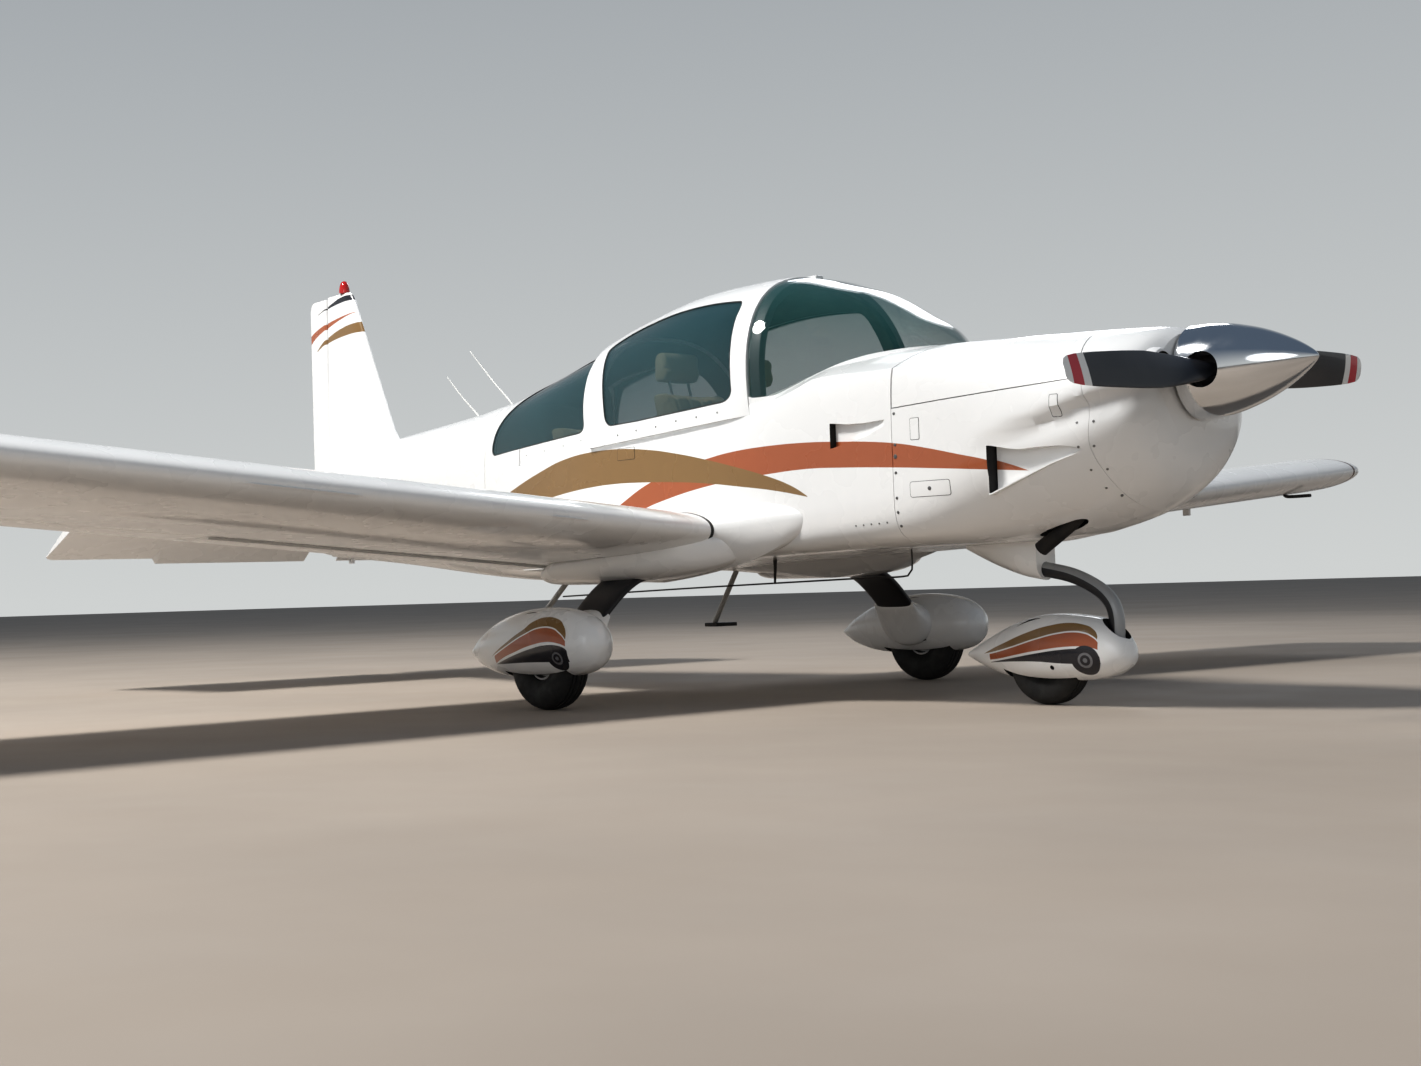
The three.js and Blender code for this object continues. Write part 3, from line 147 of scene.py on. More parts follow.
CAMERA_PLACE = (6.832, -6.350, 0.528)
YAW, PITCH, ROLL = 2.5012, 0.0305, -0.0295
SENSOR, FOCAL_PIXELS, SHIFT_PIXELS, IMAGE_WIDTH = 36, 1867.24, 238.63, 1421
forward = Vector((cos(PITCH) * cos(YAW), cos(PITCH) * sin(YAW), sin(PITCH)))
level = Vector((sin(YAW), -cos(YAW), 0))
upright = level.cross(forward)
right = level * cos(ROLL) + upright * sin(ROLL)
up = upright * cos(ROLL) - level * sin(ROLL)
deselect()
bpy.ops.object.camera_add(location=CAMERA_PLACE)
camera = bpy.context.object
camera.rotation_euler = Matrix((right, up, -forward)).transposed().to_euler()
camera.data.sensor_width = SENSOR
camera.data.lens = SENSOR * FOCAL_PIXELS / IMAGE_WIDTH
camera.data.shift_x = SHIFT_PIXELS / IMAGE_WIDTH
camera.data.clip_end = 400
bpy.context.scene.camera = camera


# Body skins: bonded aluminium sheet, formed over bulkheads and sprayed gloss white, with a gold and a rust
# stripe along each side. Every skin is a grid rolled round the body's sections and cut where panels meet.
MM = 0.001
WHITE, WHITE_SHADE = (0.80, 0.80, 0.795), (0.785, 0.785, 0.78)
GOLD, RUST, NAVY = (0.22, 0.127, 0.046), (0.355, 0.097, 0.036), (0.010, 0.011, 0.018)
FAIR_EDGE = 1.2           # millimetres over which a painted edge fades


def line_height(m, x, points, low, high):
    """Height in metres of a smooth painted edge through points (x, z), at x"""
    first, last = points[0][0], points[-1][0]
    share = put(m, "MapRange", {0: x, 1: first * MM, 2: last * MM, 3: 0.0, 4: 1.0}).outputs[0]
    edge = put(m, "FloatCurve", {"Value": share})
    curve = edge.mapping.curves[0]
    for i, (px, pz) in enumerate(points):
        at = ((px - first) / (last - first), (pz - low) / (high - low))
        if i == 0:
            curve.points[0].location = at
        elif i == len(points) - 1:
            curve.points[len(curve.points) - 1].location = at
        else:
            curve.points.new(*at)
    edge.mapping.update()
    return put(m, "MapRange", {0: edge.outputs[0], 1: 0.0, 2: 1.0, 3: low * MM, 4: high * MM}).outputs[0]


def above(m, z, height):
    return sum_of(m, "MULTIPLY_ADD", sum_of(m, "SUBTRACT", z, height), 1000 / FAIR_EDGE, clamp=True)


def between_lines(m, x, z, upper, lower):
    """1 on the stripe between its upper and lower edge, and 0 beside it"""
    low = min(p[1] for p in upper + lower) - 20
    high = max(p[1] for p in upper + lower) + 20
    x0, x1 = max(upper[0][0], lower[0][0]), min(upper[-1][0], lower[-1][0])
    over = above(m, z, line_height(m, x, lower, low, high))
    under = above(m, line_height(m, x, upper, low, high), z)
    ahead = sum_of(m, "MULTIPLY", above(m, x, x0 * MM), above(m, x1 * MM, x))
    return sum_of(m, "MULTIPLY", sum_of(m, "MULTIPLY", over, under), ahead)


def base_tone(m):
    return m.node_tree.nodes["Principled BSDF"].inputs["Base Color"]


def lay_over(m, mask, colour):
    """Puts a colour over the material's present base colour where mask is 1"""
    socket = base_tone(m)
    under = socket.links[0].from_socket
    m.node_tree.links.new(blend_colours(m, mask, under, colour), socket)


def gloss_white(name, stripes=()):
    m = finish(name, WHITE, 0.22, coat=0.6, shade=WHITE_SHADE, rough_to=0.32, bump=(90, 0.03), scale=1.3)
    if stripes:
        x, _, z = axes_of(m)
        for colour, upper, lower in stripes:
            lay_over(m, between_lines(m, x, z, upper, lower), colour)
    return m


RUST_UPPER = [(60, 822), (267, 927), (439, 997), (620, 1045), (810, 1078), (990, 1099), (1210, 1107),
              (1385, 1105), (1555, 1096), (1720, 1083), (1885, 1063), (2025, 1035), (2165, 1001), (2295, 968),
              (2435, 918)]
RUST_LOWER = [(60, 815), (280, 850), (503, 905), (839, 960), (1000, 974), (1166, 985), (1415, 993),
              (1607, 985), (1886, 966), (2110, 947), (2290, 931), (2435, 918)]
GOLD_UPPER = [(-1000, 905), (-820, 985), (-625, 1050), (-420, 1106), (-220, 1150), (-15, 1170), (190, 1171),
              (405, 1153), (615, 1119), (810, 1077), (990, 1032), (1163, 984), (1300, 937), (1410, 879)]
GOLD_LOWER = [(-1000, 900), (-700, 930), (-400, 965), (-149, 991), (-11, 1001), (184, 1007), (398, 1001),
              (605, 989), (803, 971), (1019, 943), (1201, 917), (1410, 876)]
body_white = gloss_white("body_white", [(RUST, RUST_UPPER, RUST_LOWER), (GOLD, GOLD_UPPER, GOLD_LOWER)])
plain_white = gloss_white("plain_white")

QUARTER = 40              # faces round a quarter of a section
SLOPE_STEPS = 400
SHOULDER = 9              # millimetres over which a side turns into a crowned deck


def eased(t, a, b, lead_a, lead_b):
    """The smooth line from a to b at share t, leaving and arriving with the given leads"""
    return ((2 * t**3 - 3 * t**2 + 1) * a + (t**3 - 2 * t**2 + t) * lead_a
            + (-2 * t**3 + 3 * t**2) * b + (t**3 - t**2) * lead_b)


def fair(table, x):
    """The section row at x, on smooth lines through the table's rows"""
    rows = np.array(table, float)
    xs = rows[:, 0]
    i = int(np.clip(np.searchsorted(xs, x) - 1, 0, len(xs) - 2))
    tangents = []
    for k in (i, i + 1):
        before, after = rows[max(0, k - 1)], rows[min(len(rows) - 1, k + 1)]
        tangents.append((after - before) / (after[0] - before[0]) * (xs[i + 1] - xs[i]))
    t = (x - xs[i]) / (xs[i + 1] - xs[i])
    row = eased(t, rows[i], rows[i + 1], *tangents)
    row[0] = x
    return row


def quarter_curve(wide, rise, sharp, crown=0.0):
    """A quarter of a rounded box, from its side to its top, its points closer where it turns; the top sinks
    towards the sides by crown times y squared"""
    t = np.linspace(0, pi / 2, SLOPE_STEPS)
    y = wide * np.maximum(np.cos(t), 0) ** (2 / sharp)
    z = rise * np.sin(t) ** (2 / sharp)
    y[-1] = 0
    deck = rise - crown * y * y
    share = np.clip(0.5 + (z - deck) / (2 * SHOULDER), 0, 1)
    z = z + (deck - z) * share - (SHOULDER * share * (1 - share) if crown else 0)
    length = np.hypot(np.diff(y), np.diff(z))
    angle = np.arctan2(np.diff(z), -np.diff(y))
    turning = np.abs(np.diff(angle, prepend=angle[0]))
    way = np.concatenate([[0], np.cumsum(length / length.sum() + turning / max(turning.sum(), 1e-9))])
    steps = np.arange(SLOPE_STEPS)
    chosen = np.interp(np.linspace(0, way[-1], QUARTER + 1), way, steps)
    return np.stack([np.interp(chosen, steps, c) for c in (y, z)], axis=1)


def section(row, grow=0.0, shift_y=0.0):
    """Ring of points round a rounded box: half width, foot, widest height, top, how square each half is, and
    the crown of the top"""
    x, wide, foot, mid, top, sharp_top, sharp_foot, *crown = row
    over = quarter_curve(wide + grow, top - mid + grow, sharp_top, *crown)
    under = quarter_curve(wide + grow, mid - foot + grow, sharp_foot)
    yz = np.concatenate([
        over[:-1], over[::-1][:-1] * (-1, 1), under[:-1] * (-1, -1), under[::-1][:-1] * (1, -1)])
    return np.stack([np.full(len(yz), x), yz[:, 0] + shift_y, yz[:, 1] + mid], axis=1)


def pick(o):
    """Makes o the one selected object"""
    deselect()
    bpy.context.view_layer.objects.active = o
    o.select_set(True)


def clean_up(o, close=True):
    """Merges what meets, closes open ends and turns all faces outwards"""
    pick(o)
    bpy.ops.object.mode_set(mode="EDIT")
    bpy.ops.mesh.select_all(action="SELECT")
    bpy.ops.mesh.remove_doubles(threshold=1e-6)
    if close:
        bpy.ops.mesh.fill_holes(sides=0)
    bpy.ops.mesh.select_all(action="SELECT")
    bpy.ops.mesh.normals_make_consistent(inside=False)
    bpy.ops.object.mode_set(mode="OBJECT")


def skin(name, rings, look=None):
    """A grid rolled round rings of points, in millimetres, its ends closed"""
    rings = np.array(rings, float)
    count, around = rings.shape[:2]
    deselect()
    bpy.ops.mesh.primitive_grid_add(x_subdivisions=around, y_subdivisions=count - 1)
    o = bpy.context.object
    o.name = o.data.name = name
    points = np.concatenate([rings, rings[:, :1]], axis=1) * MM
    o.data.vertices.foreach_set("co", points.ravel())
    o.data.update()
    clean_up(o)
    if look:
        o.data.materials.append(look)
    return o


def prism(name, outline, a, b, along="y", look=None):
    """A flat outline pulled through from a to b; (x, z) along y, (y, z) along x, (x, y) along z"""
    deselect()
    bpy.ops.mesh.primitive_circle_add(vertices=len(outline), fill_type="NGON")
    o = bpy.context.object
    o.name = o.data.name = name
    order = {"y": lambda p, q: (p, a, q), "x": lambda p, q: (a, p, q), "z": lambda p, q: (p, q, a)}[along]
    flat = np.array([order(p, q) for p, q in outline], float) * MM
    o.data.vertices.foreach_set("co", flat.ravel())
    o.data.update()
    pull = {"y": (0, (b - a) * MM, 0), "x": ((b - a) * MM, 0, 0), "z": (0, 0, (b - a) * MM)}[along]
    bpy.ops.object.mode_set(mode="EDIT")
    bpy.ops.mesh.select_all(action="SELECT")
    bpy.ops.mesh.extrude_region_move(TRANSFORM_OT_translate={"value": pull})
    bpy.ops.object.mode_set(mode="OBJECT")
    clean_up(o, close=False)
    if look:
        o.data.materials.append(look)
    return o


def block(name, x0, x1, y0, y1, z0, z1, look=None):
    return prism(name, [(x0, z0), (x1, z0), (x1, z1), (x0, z1)], y0, y1, look=look)


def aimed(place, way):
    """Turns Z along way and moves the origin to a place in millimetres"""
    return Matrix.Translation(Vector(place) * MM) @ Vector(way).to_track_quat("Z", "Y").to_matrix().to_4x4()


def rod(name, start, end, radius, sides=32, look=None):
    """A straight round bar between two points, in millimetres"""
    start, end = Vector(start), Vector(end)
    deselect()
    bpy.ops.mesh.primitive_cylinder_add(vertices=sides, radius=radius * MM, depth=(end - start).length * MM)
    o = bpy.context.object
    o.name = o.data.name = name
    o.data.transform(aimed((start + end) / 2, end - start))
    if look:
        o.data.materials.append(look)
    return o


def cross_bar(name, x, z, y0, y1, radius, sides, look=None):
    """A round bar that lies across the aircraft"""
    return rod(name, (x, y0, z), (x, y1, z), radius, sides, look)


def smooth_path(points, step=12):
    """Points on a smooth line through the given ones, with about a step between them"""
    points = np.array(points, float)
    before = np.vstack([2 * points[0] - points[1], points[:-1]])
    after = np.vstack([points[1:], 2 * points[-1] - points[-2]])
    reach = np.linalg.norm(np.diff(points, axis=0), axis=1)
    place = [points[0]]
    for i, long in enumerate(reach):
        a, b = points[i], points[i + 1]
        ways = [np.linalg.norm(points[k] - before[k]) + np.linalg.norm(after[k] - points[k])
                for k in (i, i + 1)]
        ta, tb = [(after[k] - before[k]) / w * long for k, w in zip((i, i + 1), ways)]
        for t in np.linspace(0, 1, max(2, int(long / step) + 1))[1:]:
            place.append(eased(t, a, b, ta, tb))
    return np.array(place)


def ways_along(line):
    """Unit vectors along a line of points"""
    along = np.gradient(line, axis=0)
    return along / np.linalg.norm(along, axis=1)[:, None]


def distances(line):
    """How far along the line each of its points lies"""
    return np.concatenate([[0], np.cumsum(np.linalg.norm(np.diff(line, axis=0), axis=1))])


def steps_round(count):
    """Angles of even steps round a circle"""
    return np.arange(count) / count * 2 * pi


def pipe(name, points, radius, sides=20, step=12, look=None, flat=1.0, side_way=(0, 1, 0)):
    """A round or flattened tube along a smooth line; flat is its depth as a share of its width"""
    line = smooth_path(points, step)
    along = ways_along(line)
    reach, way = distances(np.array(points, float)), distances(line)
    radii = np.interp(way / way[-1], reach / reach[-1], np.broadcast_to(radius, len(points)))
    rings = []
    for p, d, r in zip(line, along, radii):
        u = np.array(side_way, float) - np.dot(side_way, d) * d
        u /= np.linalg.norm(u)
        v = np.cross(d, u)
        t = steps_round(sides)
        rings.append(p + r * np.outer(np.cos(t), u) + r * flat * np.outer(np.sin(t), v))
    return skin(name, rings, look)


def boolean(o, tool, operation):
    """Cuts, keeps or joins with a tool, which is used up; the new faces take the tool's finish"""
    pick(o)
    made = o.modifiers.new("shape", "BOOLEAN")
    made.object, made.operation, made.solver = tool, operation, "MANIFOLD"
    made.material_mode = "TRANSFER"
    bpy.ops.object.modifier_apply(modifier=made.name)
    bpy.data.meshes.remove(tool.data)
    return o


def cut(o, *tools):
    for tool in tools:
        boolean(o, tool, "DIFFERENCE")
    return o


def keep_in(o, tool):
    return boolean(o, tool, "INTERSECT")


def weld(o, *others):
    for other in others:
        boolean(o, other, "UNION")
    return o


def copy_of(o, name):
    twin = o.copy()
    twin.data = o.data.copy()
    twin.name = name
    bpy.context.collection.objects.link(twin)
    return twin


def smooth(o, angle=30):
    pick(o)
    bpy.ops.object.shade_smooth_by_angle(angle=radians(angle))
    return o


def soften(o, width, segments=2, angle=40):
    """Breaks the sharp edges of a piece by width millimetres"""
    pick(o)
    made = o.modifiers.new("edge", "BEVEL")
    made.width, made.segments, made.limit_method = width * MM, segments, "ANGLE"
    made.angle_limit, made.harden_normals = radians(angle), False
    bpy.ops.object.modifier_apply(modifier=made.name)
    return o


def fit(o, body, slot, *nodes, angle=30):
    """Smooths a finished piece, hands it to its body and hides the solids it stands for; slot, its finish, is
    not used
    """
    smooth(o, angle)
    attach(o, body)
    if nodes:
        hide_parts(*nodes)
    return o


# The body's own lines: sections along X of the hull, of the canopy bubble and of the fixed rear roof, and the
# slanted planes where the canopy meets the windscreen and the rear roof.
HULL = [
    (-3160, 60, 764, 1050, 1384, 2.6, 2.4, 0), (-2700, 132, 728, 1060, 1412, 2.6, 2.6, 0),
    (-2200, 222, 686, 1060, 1449, 2.8, 3.2, 0), (-1600, 332, 630, 1050, 1485, 3.0, 4.0, 0),
    (-1280, 386, 602, 1040, 1504, 3.2, 4.5, 0), (-980, 434, 580, 1030, 1528, 3.4, 5.0, 0),
    (-700, 478, 566, 1010, 1500, 3.8, 5.5, 0), (-300, 520, 580, 1000, 1500, 4.0, 8.0, 0),
    (0, 545, 596, 1000, 1505, 4.0, 9.0, 0), (518, 556, 618, 1000, 1505, 4.0, 10.0, 0),
    (1068, 556, 634, 1000, 1505, 5.0, 10.0, 6.9e-4), (1212, 555, 638, 1000, 1505, 5.5, 9.5, 6.9e-4),
    (1330, 554, 641, 1000, 1505, 6.0, 9.0, 6.0e-4), (1464, 552, 645, 1000, 1505, 6.0, 8.0, 4.8e-4),
    (1868, 545, 652, 1000, 1497, 6.0, 6.0, 4.7e-4), (2150, 528, 656, 1010, 1480, 4.4, 3.4, 3.8e-4),
    (2350, 506, 672, 1028, 1468, 3.6, 2.3, 2.4e-4), (2450, 490, 682, 1040, 1460, 3.3, 2.0, 1.6e-4),
    (2674, 445, 738, 1080, 1449, 2.9, 1.8, 0), (2790, 395, 802, 1110, 1441, 2.7, 1.8, 0),
    (2850, 345, 868, 1140, 1430, 2.5, 1.8, 0), (2883, 270, 950, 1180, 1412, 2.3, 1.8, 0)]
BUBBLE = [
    (-200, 540, 1150, 1200, 1735, 2.5, 6), (0, 560, 1150, 1200, 1796, 2.5, 6),
    (170, 564, 1150, 1200, 1836, 2.55, 6), (480, 568, 1150, 1200, 1893, 2.6, 6),
    (760, 568, 1150, 1200, 1905, 2.65, 6), (1035, 558, 1150, 1200, 1896, 2.6, 6),
    (1200, 512, 1150, 1200, 1848, 2.5, 6), (1397, 441, 1150, 1200, 1774, 2.3, 6),
    (1608, 341, 1150, 1200, 1654, 2.3, 6), (1718, 266, 1150, 1200, 1594, 2.2, 6),
    (1818, 120, 1150, 1200, 1508, 2.0, 6)]
REAR_ROOF = [
    (-1290, 384, 1100, 1150, 1450, 3.0, 6), (-980, 430, 1100, 1150, 1528, 2.8, 6),
    (-584, 482, 1100, 1150, 1620, 2.7, 6), (-250, 506, 1100, 1150, 1706, 2.6, 6),
    (95, 520, 1100, 1150, 1784, 2.6, 6)]
SEAM = 1.5                # half of the gap that shows between two fixed panels
RUN = 6                   # gap between pieces that move past each other
SNUG = 0.4                # gap in a bonded joint, which doesn't show
HINGE_R = 5.4             # of the rods inside the hidden hinges
ACROSS, WIDE = 700, 800   # reach of a shape that cuts through the cabin, and through the whole body
CABIN_WALL, ROOF_WALL, STRIP_WALL, CONE_WALL = 34, 22, 12, 14
FIREWALL_X, CABIN_REAR_X, CONE_END_X, COWL_FRONT_X = 1868, -980, -3150, 2883
SILL_SLOPE = tan(radians(3.34))


def stations(x0, x1, step=28):
    return np.linspace(x0, x1, max(2, int(abs(x1 - x0) / step) + 1))


def hull(name, x0, x1, grow=0.0, look=None):
    return skin(name, [section(fair(HULL, x), grow) for x in stations(x0, x1)], look)


def bubble(name, grow=0.0, look=None):
    return skin(name, [section(fair(BUBBLE, x), grow) for x in stations(-200, 1818, 20)], look)


def rear_roof(name, grow=0.0, look=None):
    return skin(name, [section(fair(REAR_ROOF, x), grow) for x in stations(-1290, 95, 20)], look)


def sill(x):
    return 1247 + (x - 1060) * SILL_SLOPE


def front_arch(gap, z):
    return 1084 + gap - 0.12 * (z - 1247)


def rear_arch(gap, z):
    return 3 + gap - 0.18 * (z - 1247)


def curved_outline(path, steps=14):
    """Corners (x, z), and rounded stretches (control x, control z, end x, end z), as one closed outline"""
    points = []
    for part in path:
        if len(part) == 2:
            points.append(part)
            continue
        start, control, end = np.array(points[-1]), np.array(part[:2]), np.array(part[2:])
        for t in np.linspace(0, 1, steps + 1)[1:]:
            points.append(tuple((1 - t) ** 2 * start + 2 * t * (1 - t) * control + t * t * end))
    return points


def rounded_box(x0, x1, z0, z1, corner, steps):
    return curved_outline([
        (x0 + corner, z0), (x1 - corner, z0), (x1, z0, x1, z0 + corner), (x1, z1 - corner),
        (x1, z1, x1 - corner, z1), (x0 + corner, z1), (x0, z1, x0, z1 - corner), (x0, z0 + corner),
        (x0, z0, x0 + corner, z0)], steps)[:-1]


def drawn_in(outline, inset):
    """The outline moved inwards by inset"""
    p = np.array(outline, float)
    edge = np.roll(p, -1, axis=0) - p
    normal = np.stack([-edge[:, 1], edge[:, 0]], axis=1) / np.linalg.norm(edge, axis=1)[:, None]
    area = np.sum(p[:, 0] * np.roll(p[:, 1], -1) - np.roll(p[:, 0], -1) * p[:, 1])
    inward = normal + np.roll(normal, 1, axis=0)
    inward /= np.maximum(np.sum(inward * normal, axis=1), 0.4)[:, None]
    return [tuple(q) for q in p + inward * inset * (1 if area > 0 else -1)]


SCREEN_FOOT = smooth_path([
    (900, 1316), (1076, 1324), (1140, 1324), (1212, 1330), (1264, 1352), (1320, 1378), (1388, 1409),
    (1464, 1441), (1556, 1467), (1636, 1480), (1720, 1490), (1830, 1500)], 20)
CANOPY_WINDOW = curved_outline([
    (920, 1316), (984, 1320, 988, 1368), (961, 1547, 939, 1712), (939, 1779, 902, 1784),
    (560, 1824, 212, 1752), (120, 1728, 66, 1700), (8, 1676, 34, 1640), (98, 1505, 133, 1340),
    (146, 1281, 192, 1280), (376, 1285), (552, 1295), (720, 1304)])
REAR_WINDOW = curved_outline([
    (-120, 1270), (-70, 1273, -76, 1318), (-108, 1464), (-133, 1585, -184, 1656), (-194, 1669, -214, 1666),
    (-430, 1637, -640, 1578), (-892, 1465, -906, 1268), (-908, 1219, -862, 1221)])
SIDES = (("left", 1), ("right", -1))
SPAN = {"left": (60, 800), "right": (-800, -60)}
lining = finish("cabin_lining", (0.10, 0.095, 0.088), 0.8, shade=(0.075, 0.072, 0.068), bump=(500, 0.3),
                scale=8)

# Cabin: one shell from the rear bulkhead to the firewall, its deck cut away for the canopy, with the fixed
# rear roof and the strip under the windscreen bonded on. The inside is trimmed in dark carpet and felt.
cabin = hull("cabin_skin", CABIN_REAR_X + SEAM, FIREWALL_X - SEAM, look=body_white)
opening = prism("opening", [(-620, sill(-620)), (front_arch(RUN, 1248), sill(1090)),
                            (front_arch(RUN, 2200), 2200), (-620, 2200)], -ACROSS, ACROSS)
cut(cabin, opening)
roof = keep_in(rear_roof("roof", look=body_white), prism("roof_end", [
    (CABIN_REAR_X + SEAM, 1000), (rear_arch(62, 1000), 1000), (rear_arch(62, 2000), 2000),
    (CABIN_REAR_X + SEAM, 2000)], -ACROSS, ACROSS))
weld(cabin, roof)
strip = cut(bubble("screen_strip", look=body_white), bubble("inner", -STRIP_WALL))
strip_side = ([(front_arch(RUN, 1220), 1220), (1800, 1220)]
              + [(x, z - 0.5) for x, z in SCREEN_FOOT[::-1] if 1090 < x < 1800]
              + [(front_arch(RUN, 1330), 1330)])
weld(cabin, keep_in(strip, prism("strip_side", strip_side, -ACROSS, ACROSS)))
cut(cabin, hull("room", CABIN_REAR_X + CABIN_WALL, FIREWALL_X - CABIN_WALL, -CABIN_WALL, look=lining),
    keep_in(rear_roof("roof_room", -ROOF_WALL, look=lining),
            block("rear", CABIN_REAR_X + CABIN_WALL, 700, -ACROSS, ACROSS, 1000, 2000)),
    keep_in(bubble("screen_room", -30, look=lining), block("front", 900, 1700, -600, 600, 1200, 2000)))
for side, span in SPAN.items():
    cut(cabin, prism("window", REAR_WINDOW, *span, look=body_white))
DOOR = {"x0": -860, "x1": -440, "z0": 800, "z1": 1120}
DOOR_HINGE_Y, DOOR_SPAN = 505.5, (300, 700)


def door_outline(gap, front):
    return rounded_box(DOOR["x0"] - gap, DOOR["x1"] + front, DOOR["z0"] - gap, DOOR["z1"] + gap, 28, 6)


cut(cabin, prism("door_hole", door_outline(3, 6), *DOOR_SPAN, look=body_white))
fit(cabin, "airframe", "white_hollow", "cabin_shell")

# Baggage door: a curved panel of the same sheet on the left side, painted with the stripe that crosses it, on
# a hidden hinge along its front edge.
door = cut(hull("baggage_door_skin", -960, -300, look=body_white),
           hull("inner", -970, -290, -CABIN_WALL, look=lining))
keep_in(door, prism("door_side", door_outline(0, -1), *DOOR_SPAN, look=body_white))
weld(door, rod("door_hinge_rod", (DOOR["x1"], DOOR_HINGE_Y, DOOR["z0"]),
               (DOOR["x1"], DOOR_HINGE_Y, DOOR["z1"]), HINGE_R, 20))
fit(door, "baggage_door", "white_skin", "baggage_door")

# Tail cone: a tapering tube of folded sheet riveted to the rear bulkhead, with a moulded end fairing under
# the rudder and a bolted tie-down lug below.
ELEVATOR_HINGE = (-2902, 990)
RUDDER_HINGE_X, RUDDER_FOOT_Z, FIN_TOP_Z = -3162, 1012, 2405
STINGER = [(-3326, 14, 850, 905, 965, 2, 2), (-3290, 40, 798, 900, 1012, 2, 2),
           (-3110, 58, 766, 900, 1030, 2.4, 2.4)]
cone = cut(hull("tail_cone_skin", CONE_END_X, CABIN_REAR_X - SEAM, look=plain_white),
           hull("inner", CONE_END_X + 500, CABIN_REAR_X + 10, -CONE_WALL, look=lining))
end_fairing = skin("end", [section(fair(STINGER, x)) for x in stations(-3326, -3110, 12)], plain_white)
lug = block("lug", -2970, -2930, -9, 9, 715, 800, plain_white)
weld(cone, end_fairing, lug)
cut(cone, cross_bar("lug_hole", -2950, 740, -20, 20, 9, 16),
    cross_bar("torque_hole", *ELEVATOR_HINGE, -300, 300, 24, 32))


def rudder_room():
    around = rod("rudder_room", (RUDDER_HINGE_X, 0, RUDDER_FOOT_Z - RUN), (RUDDER_HINGE_X, 0, 2394), 42, 48)
    return weld(around, block("behind", -3400, RUDDER_HINGE_X, -80, 80, RUDDER_FOOT_Z - RUN, 1600))


cut(cone, rudder_room())
fit(cone, "airframe", "white_hollow", "tail_cone")

# Fin and rudder: upright surfaces of bonded sheet, the rudder hung on pins behind the fin's rear spar, with a
# navy, a rust and a gold swoosh across the upper part of both.
NAVY_UPPER = [(-3243, 2310), (-3150, 2334), (-3068, 2357), (-2950, 2382), (-2840, 2386), (-2700, 2386)]
NAVY_LOWER = [(-3243, 2306), (-3123, 2329), (-2943, 2348), (-2840, 2351), (-2700, 2351)]
TAIL_RUST_UPPER = [(-3360, 2178), (-3294, 2203), (-3130, 2237), (-2950, 2260), (-2800, 2271)]
TAIL_RUST_LOWER = [(-3360, 2120), (-3297, 2156), (-3130, 2205), (-2950, 2246), (-2800, 2269)]
TAIL_GOLD_UPPER = [(-3265, 2080), (-3132, 2143), (-2951, 2187), (-2800, 2202), (-2650, 2206)]
TAIL_GOLD_LOWER = [(-3265, 2074), (-3134, 2110), (-2900, 2136), (-2690, 2139), (-2650, 2139)]
tail_white = gloss_white("tail_white", [
    (NAVY, NAVY_UPPER, NAVY_LOWER), (RUST, TAIL_RUST_UPPER, TAIL_RUST_LOWER),
    (GOLD, TAIL_GOLD_UPPER, TAIL_GOLD_LOWER)])
FIN_TRAIL_X = RUDDER_HINGE_X + 36


def fin_front(z):
    return -2400 - (z - 1440) * 0.475


def fin_ring(z, lead, trail, half):
    shares = (1 - np.cos(np.linspace(0, pi, 25))) / 2
    thick = half * np.sqrt(1 - (1 - np.minimum(shares / 0.28, 1)) ** 2) * (1 - 0.35 * shares**2)
    upper = [(lead + (trail - lead) * t, h, z) for t, h in zip(shares, np.maximum(thick, 0.6))]
    return upper + [(x, -y, z) for x, y, z in upper[::-1]]


FIN_ROWS = [(1330, fin_front(1330) + 60, 34), (1420, fin_front(1420) + 22, 36), (1500, fin_front(1500), 38),
            (1800, fin_front(1800), 33), (2100, fin_front(2100), 28.5), (2365, fin_front(2365), 24),
            (2388, fin_front(2388) - 8, 22), (2400, fin_front(2400) - 19, 17),
            (2405, fin_front(2405) - 30, 9)]
fin = skin("fin_skin", [fin_ring(z, lead, FIN_TRAIL_X, half) for z, lead, half in FIN_ROWS], tail_white)
cut(fin, rudder_room(), hull("hull", CONE_END_X - 5, -1700, SNUG))
fit(fin, "airframe", "white_skin", "fin")


def rudder_ring(z, trail, half):
    nose = [(RUDDER_HINGE_X + half * cos(radians(a)), half * sin(radians(a))) for a in range(90, -91, -10)]
    mid_x, mid_y = (trail + RUDDER_HINGE_X) / 2, half * 0.55
    return ([(trail, 2.4, z), (mid_x, mid_y, z)] + [(x, y, z) for x, y in nose]
            + [(mid_x, -mid_y, z), (trail, -2.4, z)])


rudder = skin("rudder_skin", [
    rudder_ring(1012, -3339, 33), rudder_ring(1020, -3342, 34), rudder_ring(1200, -3352.5, 32),
    rudder_ring(1800, -3351, 27), rudder_ring(2340, -3349, 21.4), rudder_ring(2376, -3335, 20),
    rudder_ring(2393, -3313, 15)], tail_white)
weld(rudder, rod("rudder_pin", (RUDDER_HINGE_X, 0, 1006.6), (RUDDER_HINGE_X, 0, 1017), 10, 20))
fit(rudder, "rudder", "white_skin", "rudder")


# Stabiliser and elevator: two fixed halves bolted to the cone's sides and one hinged elevator that hangs down
# when parked, its inner stretch bent as a trim tab.
STAB_HALF, STAB_CHORD, ELEVATOR_CHORD, ELEVATOR_NOSE = 1870, 480, 490, 30
STAB_ANGLE, DROOP = radians(3.3), radians(26)


